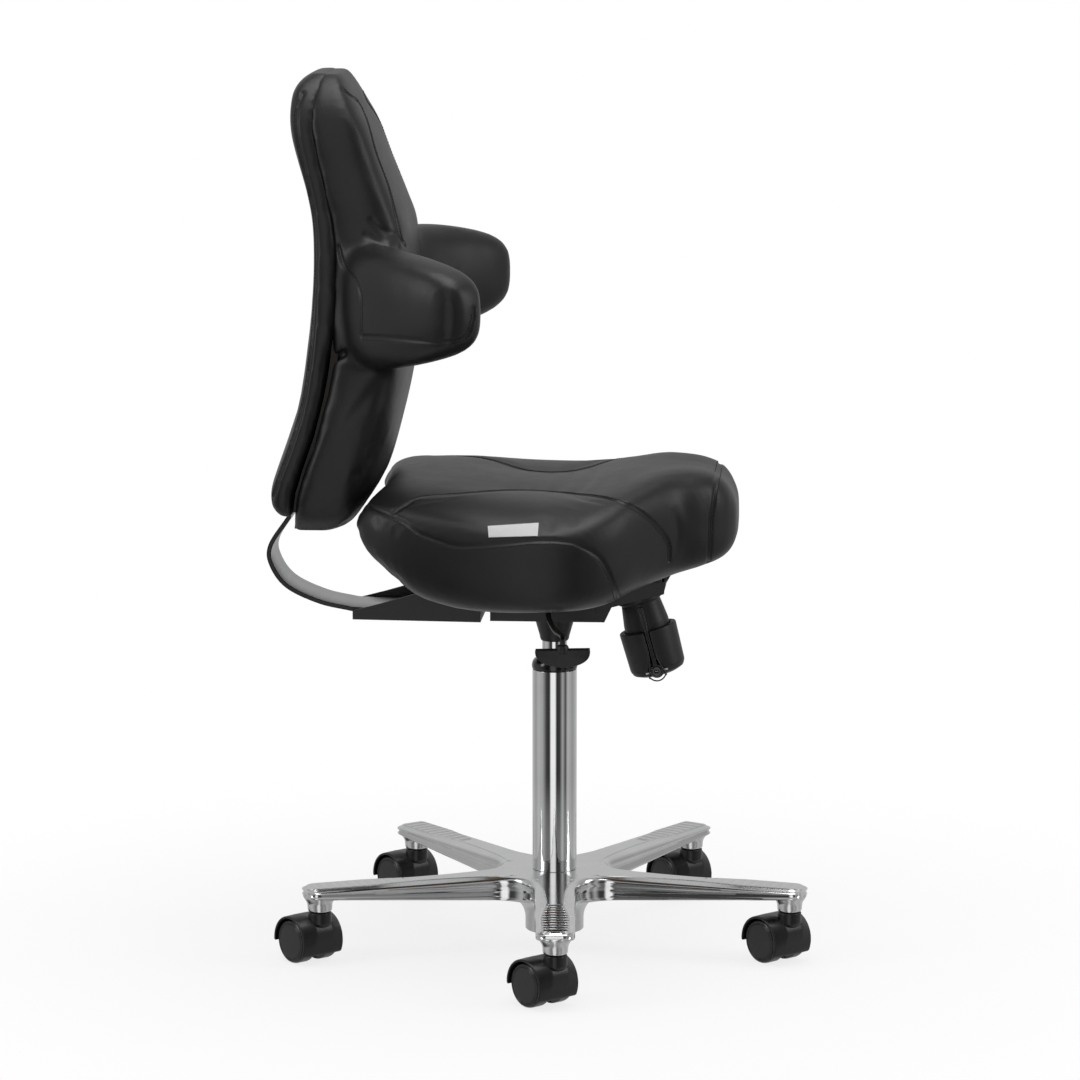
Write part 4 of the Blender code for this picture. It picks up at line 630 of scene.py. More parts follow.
def makeBase():
    b = base
    faceColumns, facetColumns = 8, 5
    columns = 2 * (faceColumns + 2 + facetColumns) + 1
    middle = columns // 2
    half = math.pi / b["legs"]
    points, faces, looks = [], [], []

    def add(x, y, z, yaw):
        points.append((x * math.cos(yaw) - y * math.sin(yaw), x * math.sin(yaw) + y * math.cos(yaw), z))
        return len(points) - 1

    def across(s, width):
        # places across a leg, with columns on the middle face's border
        face = min(follow(b["face"], s), width - 0.004) if s > 0.06 else width * 0.62
        face = max(face, width * 0.3)
        edge = min(b["groove"], (width - face) * 0.3)
        side = [face * k / faceColumns for k in range(faceColumns + 1)]
        side += [face + edge * 0.5, face + edge * 1.1]
        side += [side[-1] + (width - side[-1]) * (k + 1) / facetColumns for k in range(facetColumns)]
        return [-t for t in reversed(side[1:])] + side, face

    def topHeight(s, t, width, face):
        t = abs(t)
        drop = 0.0
        fade = min(max((s - b["facetStart"]) / b["facetRun"], 0.0), 1.0)
        if t > face + 1e-7:
            run = (t - face) / max(width - face, 1e-6)
            drop = b["facetStep"] + b["facetDrop"] * run
            if run < 0.20 * b["groove"] / 0.0009 and t < face + b["groove"] * 0.7:
                drop += 0.0010
            drop *= fade
        endDrop = max((s - 0.278) / 0.016, 0.0)
        drop += 0.0022 * endDrop**2 * (1 if t <= face + 1e-7 else 0.3)
        for k in range(b["ridges"]):
            centre = b["ridgeStart"] + b["ridgeStep"] * k
            gap = abs(s - centre) / 0.0013
            if gap < 1.0 and t < face - 0.0012:
                drop += b["ridgeDepth"] * math.cos(gap * math.pi / 2)
        if 0.172 < s < 0.286 and t < face:
            drop -= 0.0005 * min((s - 0.172) / 0.02, 1.0) * min((face - t) / 0.0015, 1.0)
        return b["top"] - b["faceDrop"] - drop

    for leg in range(b["legs"]):
        yaw = math.radians(b["yaw"]) + 2 * half * leg
        rings = [legHalf(inset) for inset, _ in b["bands"]]
        depthAt = [[b["top"] - b["faceDrop"] - underside(math.hypot(*p)) for p in ring] for ring in rings]
        # top: hub rows turn from a circle into straight rows
        rows = []
        startS = rings[0][0][0]
        hubRows = 9
        for i in range(hubRows):
            share = i / hubRows
            radius = b["boreTop"] + (startS - b["boreTop"]) * share
            blend = share * share * (3 - 2 * share)
            straight, face = across(radius, radius * math.tan(half))
            row = []
            for j in range(columns):
                u = straight[j] / straight[-1]
                polar = (radius * math.cos(u * half), radius * math.sin(u * half))
                x = polar[0] * (1 - blend) + radius * blend
                y = polar[1] * (1 - blend) + straight[j] * blend
                row.append(add(x, y, b["top"] - b["faceDrop"] + b["faceDrop"] * (1 - share) ** 4, yaw))
            rows.append(row)
        for s, width in rings[0]:
            places, face = across(s, width)
            rows.append([add(s, t, topHeight(s, t, width, face), yaw) for t in places])
        for low, high in zip(rows, rows[1:]):
            for j in range(columns - 1):
                faces.append((low[j], high[j], high[j + 1], low[j + 1]))
                inner = abs(j + 0.5 - middle) < faceColumns
                looks.append(0 if inner else 1)
        # side bands, down both sides and round the tip
        legRows = rows[hubRows:]
        edge = [row[0] for row in legRows] + [row[-1] for row in reversed(legRows)]
        tipRow = legRows[-1]
        loops = [edge]
        for k, (inset, share) in enumerate(b["bands"][1:], 1):
            right = []
            left = []
            for n, (s, t) in enumerate(rings[k]):
                depth = depthAt[k][n]
                facet = b["facetDrop"] + b["facetStep"]
                fade = min(max((s - b["facetStart"]) / b["facetRun"], 0.0), 1.0)
                z = b["top"] - b["faceDrop"] - facet * fade - share * (depth - facet * fade)
                right.append(add(s, -t, z, yaw))
                left.append(add(s, t, z, yaw))
            loops.append(right + left[::-1])
        count = len(legRows)
        for k, (upper, lower) in enumerate(zip(loops, loops[1:])):
            for n in range(len(upper) - 1):
                if n == count - 1:
                    continue
                faces.append((upper[n], lower[n], lower[n + 1], upper[n + 1]))
                looks.append(0)
        # the short flat end of the tip, as wide as the top's last row
        spans = len(tipRow) - 1
        previous = tipRow
        for k, loop in enumerate(loops[1:], 1):
            a = Vector(points[loop[count - 1]])
            c = Vector(points[loop[count]])
            row = [loop[count - 1]]
            for j in range(1, spans):
                u = (places[j] - places[0]) / (places[-1] - places[0])
                points.append(tuple(a + (c - a) * u))
                row.append(len(points) - 1)
            row.append(loop[count])
            for j in range(spans):
                faces.append((previous[j], row[j], row[j + 1], previous[j + 1]))
                looks.append(0)
            previous = row
        tipBottom = previous
        # underside, the hub's fillet, its wall and the bore
        lastRing = rings[-1]
        bottom = []
        for n, (s, width) in enumerate(lastRing):
            if n == len(lastRing) - 1:
                bottom.append(tipBottom)
                continue
            row = [loops[-1][n]]
            for j in range(1, columns - 1):
                u = 2 * j / (columns - 1) - 1
                x, y = s, u * width
                row.append(add(x, y, underside(math.hypot(x, y)), yaw))
            row.append(loops[-1][2 * count - 1 - n])
            bottom.append(row)
        hubEdge = lastRing[0][0] / math.cos(half)
        steps = 10
        inward = []
        for i in range(1, steps + 1):
            turn = math.pi / 2 * i / steps
            radius = hubEdge - (hubEdge - b["hub"]) * math.sin(turn)
            share = i / steps
            row = []
            for j in range(columns):
                u = 2 * j / (columns - 1) - 1
                straight = (radius * math.cos(half), u * radius * math.sin(half))
                polar = (radius * math.cos(u * half), radius * math.sin(u * half))
                blend = min(share * 2.0, 1.0)
                x = straight[0] * (1 - blend) + polar[0] * blend
                y = straight[1] * (1 - blend) + polar[1] * blend
                row.append(add(x, y, underside(max(math.hypot(x, y), b["hub"])), yaw))
            inward.append(row)
        wall = [(b["hub"], b["hubBottom"] + 0.001), (b["hub"] - 0.001, b["hubBottom"]),
                (b["boreBottom"] + 0.001, b["hubBottom"]), (b["boreBottom"], b["hubBottom"] + 0.001),
                (b["boreTop"], b["top"] - 0.002)]
        for radius, z in wall:
            inward.append([add(radius * math.cos((2 * j / (columns - 1) - 1) * half),
                               radius * math.sin((2 * j / (columns - 1) - 1) * half), z, yaw)
                           for j in range(columns)])
        ends = inward + [rows[0]]
        strips = [(bottom[n + 1], bottom[n]) for n in range(len(bottom) - 1)]
        strips += [(bottom[0], ends[0])] + list(zip(ends, ends[1:]))
        for low, high in strips:
            for j in range(columns - 1):
                face = tuple(dict.fromkeys((low[j], high[j], high[j + 1], low[j + 1])))
                if len(face) > 2:
                    faces.append(face)
                    looks.append(2)
    piece("base_casting", points, faces, ["polish", "brush", "satin"], "base", ["base_star"],
          looks, sharp=38.0)
    shells = []
    for leg in range(b["legs"]):
        yaw = math.radians(b["yaw"]) + 2 * half * leg
        place = Matrix.Translation((b["circle"] * math.cos(yaw), b["circle"] * math.sin(yaw), 0.0))
        low = b["socketBottom"]
        tip = b["top"] - b["depthTip"]
        profile = softened([(b["stem"], low), (b["socket"], low), (b["socket"] + 0.0008, low + 0.0095),
                            (b["socketFlare"], tip + 0.001), (b["socketFlare"], tip + 0.004),
                            (b["stem"], tip + 0.004)], 0.0022, 4, closed=True)
        profile = [(p.x, p.y) for p in profile]
        shells.append(turnedShell(profile, 64, place))
    points, faces = gathered(*shells)
    piece("base_sockets", points, faces, ["satin"], "base", sharp=50.0)


makeBase()
print("base made")


caster = {
    "wheel": 0.025, "width": 0.0185, "gap": 0.007, "trail": 0.022, "heading": 133.0,
    "hoodReach": 0.0294, "hoodInner": 0.0262, "hoodHalf": 0.0272, "hoodStart": -30.0, "hoodEnd": 186.0,
    "apron": 0.0062, "apronTurn": 38.0, "apronWide": 52.0,
    "web": 0.0058, "neck": 0.0130, "neckTop": 0.0605,
}


def makeCaster(number):
    c = caster
    joint = jointNamed["caster_%d_swivel" % number]
    heading = math.radians(c["heading"]) + math.pi
    place = Matrix.Translation(Vector(joint["pos_m"]) * Vector((1, 1, 0))) @ Matrix.Rotation(heading, 4, "Z")
    axle = place @ Matrix.Translation((-c["trail"], 0.0, c["wheel"]))
    body = "caster_%d" % number
    # hood: a band over both wheels, rounded on its outer edges
    sections = []
    out, low, side = c["hoodReach"], c["hoodInner"], c["hoodHalf"]
    turns = 60
    for k in range(turns + 1):
        degrees = c["hoodStart"] + (c["hoodEnd"] - c["hoodStart"]) * k / turns
        turn = math.radians(degrees)
        # the apron swells out of the band to meet the neck
        near = min(abs(degrees - c["apronTurn"]) / c["apronWide"], 1.0)
        reach = out + c["apron"] * (0.5 + 0.5 * math.cos(math.pi * near))
        ring = softened([(low, -side), (out - 0.0006, -side), (reach, -side * 0.42), (reach, side * 0.42),
                         (out - 0.0006, side), (low, side)], 0.0016, 4, closed=True)
        pinch = 0.0006 if k in (0, turns) else 0.0
        sections.append([axle @ Vector(((p.x - pinch) * math.cos(turn), p.y * (1 - 20 * pinch),
                                        (p.x - pinch) * math.sin(turn))) for p in ring])
    band = ([p for s in sections for p in s], skin(sections))
    webOutline = arc(0.0, 0.0, c["hoodReach"] - 0.0015, -40.0, 180.0, 30)
    webOutline += [(-0.012, -0.007), (0.0, -0.009), (0.010, -0.016)]
    web, webFaces = prismShell(webOutline, -c["web"], c["web"])
    web = [axle @ p for p in web]
    # the apron joins the neck to the band
    neckProfile = softened([(0.0, 0.0435), (0.0100, 0.0435), (c["neck"] + 0.0003, 0.0480),
                            (c["neck"], c["neckTop"] - 0.0004), (0.0, c["neckTop"])], 0.0014, 4)
    neck = turnedShell([(max(p.x, 0.0), p.y) for p in neckProfile], 40, place)
    points, faces = gathered(band, (web, webFaces), neck)
    piece("caster_%d_cover" % number, points, faces, ["hood"], body, ["caster_%d_hood" % number],
          origin=Vector((0, 0, 0)), sharp=42.0)
    near, far, rim = c["gap"], c["gap"] + c["width"], c["wheel"]
    corners = [(0.0034, near + 0.0132), (0.0034, near), (0.0150, near), (0.0155, near + 0.0016),
               (0.0215, near + 0.0016), (0.0220, near), (rim - 0.0010, near), (rim, near + 0.0016),
               (rim, far - 0.0042), (rim - 0.0008, far - 0.0018), (rim - 0.0024, far - 0.0004),
               (rim - 0.0036, far - 0.0002), (rim - 0.0041, far - 0.0011), (rim - 0.0050, far - 0.0011),
               (rim - 0.0056, far - 0.0001), (0.0060, far), (0.0, far)]
    profile = [(0.0, near + 0.0132)] + [(p.x, p.y) for p in softened(corners, 0.0011, 3)]
    profile[-1] = (0.0, far)
    for side, turn in (("left", -math.pi / 2), ("right", math.pi / 2)):
        spin = axle @ Matrix.Rotation(turn, 4, "X")
        points, faces = turnedShell(profile, 72, spin)
        piece("caster_%d_roller_%s" % (number, side), points, faces, ["wheel"],
              "caster_%d_%s" % (number, side), ["caster_%d_wheel_%s" % (number, side)],
              origin=Vector((0, 0, 0)), sharp=50.0)


for number in range(1, base["legs"] + 1):
    makeCaster(number)
print("casters made")


column = {
    "radius": 0.025, "wall": 0.002, "foot": 0.0903, "top": 0.320, "collar": 0.0133,
    "cylinder": 0.014, "cylinderLow": 0.0483, "neck": 0.352, "cylinderTop": 0.398,
    "hole": 0.0055, "bottom": 0.0225, "plate": 0.0035, "taperLow": 0.0232, "taperHigh": 0.0243,
    "bore": 0.0115, "valve": 0.0033,
}


def lathe(name, corners, radius, lookName, body, replaces, steps=96, closed=False, place=None):
    profile = [(max(p.x, 0.0), p.y) for p in softened(corners, radius, 4, closed)]
    points, faces = turnedShell(profile, steps, place)
    return piece(name, points, faces, [lookName], body, replaces, sharp=50.0)


def makeColumn():
    c = column
    inner = c["radius"] - c["wall"]
    lathe("column_chrome_tube", [
        (c["hole"], c["bottom"]), (c["taperLow"], c["bottom"]), (c["taperHigh"], c["foot"] - 0.0003),
        (c["taperHigh"], c["foot"]), (c["radius"], c["foot"]), (c["radius"], c["top"]), (inner, c["top"]),
        (inner, c["foot"]), (c["taperLow"] - c["wall"], c["bottom"] + c["plate"]),
        (c["hole"], c["bottom"] + c["plate"])], 0.0003, "chrome", "base", ["column_tube"], 128, True)
    low = c["top"] + 0.0003
    passage = c["cylinder"] + 0.0005
    lathe("column_top_collar", [
        (passage, low), (c["radius"] + 0.0001, low), (c["radius"] + 0.0008, low + 0.0030),
        (c["radius"] + 0.0004, low + 0.0070), (c["radius"] - 0.0012, low + 0.0105),
        (c["radius"] - 0.0045, low + 0.0128), (passage + 0.0020, low + c["collar"] - 0.0004),
        (passage, low + c["collar"] - 0.0010)], 0.0020, "gloss", "base", ["column_collar"], 96, True)
    lathe("column_lift_cylinder", [
        (c["hole"], c["cylinderLow"]), (c["cylinder"], c["cylinderLow"]), (c["cylinder"], c["neck"]),
        (c["cylinder"] - 0.0007, c["cylinderTop"]), (c["valve"], c["cylinderTop"]),
        (c["valve"], c["neck"] + 0.010), (c["bore"], c["neck"] + 0.008),
        (c["bore"], c["cylinderLow"] + 0.004), (c["hole"], c["cylinderLow"] + 0.004)],
        0.0003, "chrome", "column_top", ["gas_cylinder"], 96, True)


makeColumn()
print("column made")


mechanism = {
    "bottom": 0.380, "back": -0.070, "half": 0.036, "wall": 0.0025, "underside": 0.4285,
    "axle": (0.035, 0.404), "knobX": 0.1045, "knobTop": 0.369, "knobTilt": 15.0, "sleeveRise": 0.037,
    "coneLow": 0.353, "coneTip": 0.0162, "cone": 0.0240, "noseHalf": 0.030, "screwGap": 0.0082,
    "coneBore": 0.0143, "coneNeck": 0.0200, "coneTop": 0.394,
    "slot": (-0.004, 0.0052), "slotFoot": 0.4008,
}


def alongKnob(down, across=0.0):
    m = mechanism
    tilt = math.radians(m["knobTilt"])
    return (m["knobX"] + math.sin(tilt) * down + math.cos(tilt) * across,
            m["knobTop"] - math.cos(tilt) * down + math.sin(tilt) * across)


def knobPlace():
    # screw's own frame: z along the screw, its origin at the knob's rim
    m = mechanism
    return (Matrix.Translation((m["knobX"], 0.0, m["knobTop"]))
            @ Matrix.Rotation(-math.radians(m["knobTilt"]), 4, "Y"))


def boxShell(low, high, place):
    outline = [(low[0], low[1]), (high[0], low[1]), (high[0], high[1]), (low[0], high[1])]
    points, faces = prismShell(outline, low[2], high[2], "Z")
    return [place @ p for p in points], faces


def makeHousing():
    # a pressed box, open above, with the column's socket below and a square nose over the knob
    m = mechanism
    noseBack = alongKnob(-m["sleeveRise"], -m["noseHalf"])
    noseFront = alongKnob(-m["sleeveRise"], m["noseHalf"])
    outline = [(m["back"], m["bottom"]), (noseBack[0] - 0.008, m["bottom"]), noseBack, noseFront,
               (noseFront[0] + 0.0025, m["underside"] - 0.0015),
               (m["axle"][0] - 0.005, m["underside"] - 0.0085), (m["back"], m["axle"][1] - 0.001)]
    half, wall = m["half"], m["wall"]
    sides = []
    # the near side has a slot for the lever's rod
    front, rear = outline[-2], outline[-1]
    slope = (front[1] - rear[1]) / (front[0] - rear[0])
    middle, slotHalf = m["slot"]
    slot = [(x, rear[1] + slope * (x - rear[0])) for x in (middle + slotHalf, middle - slotHalf)]
    notch = [slot[0], (slot[0][0], m["slotFoot"]), (slot[1][0], m["slotFoot"]), slot[1]]
    sides.append(prismShell(outline[:-1] + notch + outline[-1:], -half, -half + wall))
    sides.append(prismShell(outline, half - wall, half))
    floorOutline = outline[:3] + [(x, z + wall) for x, z in outline[:3]][::-1]
    sides.append(prismShell(floorOutline, -half + wall, half - wall))
    # the nose's floor leaves the middle open for the tension screw
    place, rise, reach, gap = knobPlace(), m["sleeveRise"], m["noseHalf"], m["screwGap"]
    side = half - wall
    for low, high in (((-reach, -side), (-gap, side)), ((gap, -side), (reach, side)),
                      ((-gap, -side), (gap, -gap)), ((-gap, gap), (gap, side))):
        sides.append(boxShell((*low, rise), (*high, rise + wall), place))
    front = [outline[3], outline[4], (outline[4][0] - wall, outline[4][1]),
             (outline[3][0] - wall, outline[3][1])]
    sides.append(prismShell(front, -half + wall, half - wall))
    rear = [outline[0], outline[-1], (outline[-1][0] + wall, outline[-1][1]),
            (outline[0][0] + wall, outline[0][1])]
    sides.append(prismShell(rear, -half + wall, half - wall))
    points, faces = gathered(*sides)
    made = piece("mechanism_shell", points, faces, ["powder"], "column_top", ["mechanism_housing"])
    bevelled(made, 0.0008)
    tip, low, wide, bottom = m["coneTip"], m["coneLow"], m["cone"], m["bottom"]
    cone = [(m["coneBore"], low), (tip - 0.0010, low), (tip, low + 0.002), (tip + 0.0005, low + 0.0050),
            (wide - 0.002, bottom - 0.0035), (wide, bottom - 0.0012), (wide, bottom + 0.001),
            (m["coneNeck"], bottom + 0.001), (m["coneNeck"], m["coneTop"]), (m["coneBore"], m["coneTop"])]
    lathe("column_funnel", cone, 0.0012, "powder", "column_top", [], 96, True)


makeHousing()

knob = {
    "radius": 0.033, "foot": 0.0312, "length": 0.0545, "bore": 0.0268, "floor": 0.0385, "nut": 0.0088,
    "nutHeight": 0.0071, "sleeve": 0.0255, "sleeveNeck": 0.0215, "sleeveWall": 0.0018, "sleeveDrop": 0.020,
    "armReach": 0.0290, "armPivot": 0.0465, "armRise": 0.0275, "slotHalf": 0.0038,
    "headWidth": 0.0165,
}


def booleanOut(made, shells):
    # cuts closed shells out of a piece, straight into its mesh
    points, faces = gathered(*shells)
    mesh = bpy.data.meshes.new("cutter")
    mesh.from_pydata([tuple(Vector(p) + columnAxis) for p in points], [], faces)
    form = bmesh.new()
    form.from_mesh(mesh)
    bmesh.ops.recalc_face_normals(form, faces=form.faces)
    form.to_mesh(mesh)
    form.free()
    cutter = bpy.data.objects.new("cutter", mesh)
    bpy.context.scene.collection.objects.link(cutter)
    step = made.modifiers.new("cut", "BOOLEAN")
    step.object = cutter
    step.operation = "DIFFERENCE"
    bpy.context.view_layer.update()
    graph = bpy.context.evaluated_depsgraph_get()
    result = bpy.data.meshes.new_from_object(made.evaluated_get(graph))
    made.modifiers.clear()
    result.shade_smooth()
    result.set_sharp_from_angle(angle=math.radians(35.0))
    made.data = result
    bpy.data.objects.remove(cutter, do_unlink=True)


def makeKnob():
    k = knob
    place = knobPlace()
    sleeveIn = k["sleeve"] - k["sleeveWall"]
    rise = mechanism["sleeveRise"] - 0.0003
    lathe("knob_neck", [
        (sleeveIn, -k["sleeveDrop"]), (k["sleeve"], -k["sleeveDrop"]), (k["sleeve"], 0.0060),
        (k["sleeveNeck"] + 0.0006, rise - 0.006), (k["sleeveNeck"] + 0.0034, rise - 0.0052),
        (k["sleeveNeck"] + 0.0034, rise), (k["sleeveNeck"] - k["sleeveWall"], rise),
        (sleeveIn, 0.0040)], 0.0012, "knob", "column_top", ["knob_sleeve"], 96, True, place)
    cup = lathe("tension_cup", [
        (0.0, -k["length"]), (0.0200, -k["length"] + 0.0008), (0.0285, -k["length"] + 0.0042),
        (k["foot"], -k["length"] + 0.0095), (k["radius"] - 0.0004, -0.0012),
        (k["radius"] - 0.0012, 0.0), (k["bore"], 0.0), (k["bore"], -k["floor"]),
        (k["nut"], -k["floor"]), (k["nut"], -k["floor"] - k["nutHeight"]),
        (0.0, -k["floor"] - k["nutHeight"])], 0.0016, "knob", "knob", ["tension_knob"], 128, False, place)
    width = k["headWidth"]
    slot = boxShell((-k["slotHalf"], -0.05, -k["armPivot"]),
                    (k["slotHalf"], -k["armReach"] + 0.0031, 0.01), place)
    # teardrop pocket for the folded arm's head
    tear = arc(0.0, -k["armPivot"], width / 2 + 0.0016, 30.0, -210.0, 28)
    tear += [(-k["slotHalf"], -k["armPivot"] + 0.0155), (k["slotHalf"], -k["armPivot"] + 0.0155)]
    pocket, pocketFaces = prismShell(tear, -0.05, -k["armReach"] + 0.0088)
    pocket = [place @ p for p in pocket]
    booleanOut(cup, [slot])
    booleanOut(cup, [(pocket, pocketFaces)])
    # raised rim round the pocket and along the slot
    outer = k["foot"] + 0.0008
    path = [(-k["slotHalf"] - 0.0004, -0.001)]
    path += [(-k["slotHalf"] - 0.0004, -k["armPivot"] + 0.0165)]
    path += arc(0.0, -k["armPivot"], width / 2 + 0.0022, 205.0, 335.0, 18)
    path += [(k["slotHalf"] + 0.0004, -k["armPivot"] + 0.0165), (k["slotHalf"] + 0.0004, -0.001)]
    rim = []
    for x, z in path:
        share = -z / k["length"]
        reach = k["radius"] + (outer - k["radius"]) * share
        rim.append(place @ Vector((x, -math.sqrt(max(reach**2 - x**2, 0.0)) + 0.0002, z)))
    rimPath = curveThrough(rim, 4)
    points, faces = tubeShell(rimPath, 0.00085, 8)
    piece("tension_cup_rim", points, faces, ["gloss"], "knob", [], sharp=60.0)
    # folded crank: two rails into a round head with a hole
    arm = k["armReach"] + 0.0002
    shells = []
    for side in (-1, 1):
        run = [place @ Vector((side * 0.0015, -arm, z)) for z in
               (k["armRise"], 0.0, -k["armPivot"] + 0.004)]
        shells.append(tubeShell(run, 0.0013, 12))
    core = [place @ Vector((0.0, -arm + 0.0004, z)) for z in (k["armRise"], 0.0, -k["armPivot"])]
    shells.append(tubeShell(core, 0.0012, 10))
    spin = place @ Matrix.Translation((0.0, -arm + 0.0010, -k["armPivot"]))
    spin = spin @ Matrix.Rotation(math.pi / 2, 4, "X")
    head = [(0.0, -0.0042), (0.0050, -0.0042), (0.0058, -0.0034), (0.0058, 0.0026), (0.0050, 0.0034),
            (0.0030, 0.0034), (0.0016, 0.0030), (0.0016, 0.0004), (0.0, 0.0004)]
    shells.append(turnedShell([(max(p.x, 0.0), p.y) for p in softened(head, 0.0006, 3)], 40, spin))
    collar = [(0.0058, -0.0040), (0.0080, -0.0036), (0.0080, 0.0000), (0.0072, 0.0012), (0.0058, 0.0014)]
    shells.append(turnedShell([(p.x, p.y) for p in softened(collar, 0.0005, 3, True)], 40, spin))
    points, faces = gathered(*shells)
    piece("crank_handle", points, faces, ["gloss"], "crank", ["crank_arm"], sharp=50.0)


makeKnob()

lever = {
    "x": -0.004, "pivotY": -0.038, "pivotZ": 0.4068, "rod": 0.003,
    "paddle": (0.020, -0.170, 0.3655), "wide": 0.060, "deep": 0.009, "tall": 0.021,
}


def makeLever():
    v = lever
    px, py, pz = v["paddle"]
    top = pz + v["tall"] / 2
    px -= v["x"]
    py -= v["pivotY"]
    route = [(0.0, -v["pivotY"] + 0.006, 0.0), (0.0, 0.006, 0.0), (0.0, -0.006, -0.002),
             (0.001, -0.022, -0.0145), (0.005, -0.045, -0.0190), (0.013, -0.090, -0.0195),
             (px - 0.002, py + 0.016, -0.0200), (px, py + 0.0035, top - v["pivotZ"] + 0.0092),
             (px, py, top - v["pivotZ"] + 0.0048), (px, py, top - v["pivotZ"] - 0.003),
             (px, py, top - v["pivotZ"] - 0.012)]
    shift = Vector((v["x"], v["pivotY"], v["pivotZ"]))
    path = [p + shift for p in curveThrough(route, 8)]
    points, faces = tubeShell(path, v["rod"], 20)
    piece("lever_bent_rod", points, faces, ["powder"], "lever", ["lever_rod"], sharp=60.0)
    # half-moon paddle: straight lip above, curved edge below
    half, tall, deep = v["wide"] / 2, v["tall"], v["deep"]
    turns = [math.radians(a) for a in range(0, -181, -6)]
    lower = [(half * math.cos(turn), -tall * 0.80 * abs(math.sin(turn)) ** 0.85) for turn in turns]
    outline = [(half * 0.985, tall * 0.20), (half, 0.0), *lower[1:-1], (-half, 0.0),
               (-half * 0.985, tall * 0.12)]
    rings = []
    for share, depth, sink in ((0.90, -deep / 2, 0.0012), (0.975, -deep / 2 + 0.0008, 0.0004),
                               (1.0, -deep / 2 + 0.0022, 0.0), (1.0, deep / 2 - 0.0018, 0.0),
                               (0.97, deep / 2 - 0.0004, 0.0004), (0.93, deep / 2, 0.0008)):
        rings.append([Vector((v["paddle"][0] + a * share, v["paddle"][1] + depth,
                              v["paddle"][2] + tall * 0.30 + b * share - sink)) for a, b in outline])
    blade = ([p for ring in rings for p in ring], skin(rings))
    knuckle = turnedShell([(0.0, tall / 2 - 0.006), (0.0068, tall / 2 - 0.006),
                           (0.0068, tall / 2 + 0.0006), (0.0055, tall / 2 + 0.0030),
                           (0.0036, tall / 2 + 0.0036), (0.0, tall / 2 + 0.0036)],
                          40, Matrix.Translation(Vector(v["paddle"])))
    points, faces = gathered(blade, knuckle)
    made = piece("lever_handle", points, faces, ["knob"], "lever", ["lever_paddle"], sharp=45.0)
    bevelled(made, 0.0006)


makeLever()
print("mechanism, knob and lever made")


bar = {
    "width": 0.070, "thick": 0.005, "low": 0.3903, "front": -0.0865, "channelBack": -0.2235,
    "entry": (-0.2935, 0.506), "lean": 11.0, "end": 0.625,
    "bend": [(-0.2255, 0.0012), (-0.262, 0.0092), (-0.298, 0.0262), (-0.3155, 0.0500), (-0.3165, 0.0720)],
}


def makeBar():
    b = bar
    entry = Vector((b["entry"][0], 0.0, b["entry"][1]))
    rise = Vector((math.sin(math.radians(b["lean"])), 0.0, math.cos(math.radians(b["lean"]))))
    bend = [(x, 0.0, b["low"] + z) for x, z in b["bend"]]
    path = [Vector((b["front"], 0.0, b["low"])), Vector((b["channelBack"] + 0.020, 0.0, b["low"]))]
    path += curveThrough(bend + [tuple(entry - rise * 0.012)], 12)
    path += [entry, entry + rise * ((b["end"] - entry.z) / rise.z)]
    half, thick, edge = b["width"] / 2, b["thick"] / 2, 0.0009
    # section from the inner face round the edge to the outer face
    section = [(half - edge, thick), (half - edge * 0.3, thick - edge * 0.3), (half, thick - edge),
               (half, -thick + edge), (half - edge * 0.3, -thick + edge * 0.3), (half - edge, -thick)]
    section += [(-y, -t) for y, t in section]
    rings = []
    for i, centre in enumerate(path):
        way = (path[min(i + 1, len(path) - 1)] - path[max(i - 1, 0)]).normalized()
        if i >= len(path) - 2:
            way = rise
        inner = Vector((way.z, 0.0, -way.x))       # towards the inside of the bend
        rings.append([centre + Vector((0.0, y, 0.0)) + inner * t for y, t in section])
    points = [p for ring in rings for p in ring]
    faces = skin(rings)
    count = len(section)
    # the inner face takes the grey look, a painted reflection of the white studio; the edges and outer face
    # stay black
    looks = []
    for face in faces:
        if len(face) > 4:
            looks.append(1)
            continue
        wraps = {index % count for index in face} == {0, count - 1}
        looks.append(0 if wraps else 1)
    piece("back_bent_bar", points, faces, ["paintedReflectionBarFace", "powder"], "seat", ["back_bar"], looks, sharp=40.0)


makeBar()
print("bar made")


padding = {"voxel": 0.005, "frames": 20, "pressure": 4.5, "cap": 0.007, "pinReach": 0.0065,
           "grooveDepth": 0.0019, "grooveWidth": 0.0026, "fineReach": 0.008, "seamStep": 0.0012,
           "stitchPitch": 0.0036, "stitchLength": 0.0025, "stitchRadius": 0.00042, "rowGap": 0.0036}


def superRing(count, ahead, behind):
    # a rounded ring in a unit square; each pair of powers shapes one half, small is squarer
    ring = []
    for j in range(count):
        turn = 2 * math.pi * (j + 0.5) / count
        c, s = math.cos(turn), math.sin(turn)
        powers = ahead if c > 0 else behind
        ring.append((math.copysign(abs(c) ** powers[0], c), math.copysign(abs(s) ** powers[1], s)))
    return ring


def remeshed(points, faces, voxel, blend=None):
    mesh = bpy.data.meshes.new("shell")
    mesh.from_pydata([tuple(Vector(p) + columnAxis) for p in points], [], faces)
    form = bmesh.new()
    form.from_mesh(mesh)
    bmesh.ops.recalc_face_normals(form, faces=form.faces)
    form.to_mesh(mesh)
    form.free()
    made = bpy.data.objects.new("shell", mesh)
    bpy.context.scene.collection.objects.link(made)
    step = made.modifiers.new("voxels", "REMESH")
    step.mode = "VOXEL"
    step.voxel_size = voxel
    ease = made.modifiers.new("ease", "SMOOTH")
    ease.iterations = 2
    ease.factor = 0.5
    applied(made)
    if blend:
        group = made.vertex_groups.new(name="blend")
        for vertex in made.data.vertices:
            group.add([vertex.index], blend(vertex.co - columnAxis), "REPLACE")
        ease = made.modifiers.new("blend", "SMOOTH")
        ease.iterations = 26
        ease.factor = 0.5
        ease.vertex_group = "blend"
        applied(made)
        made.vertex_groups.clear()
    return made


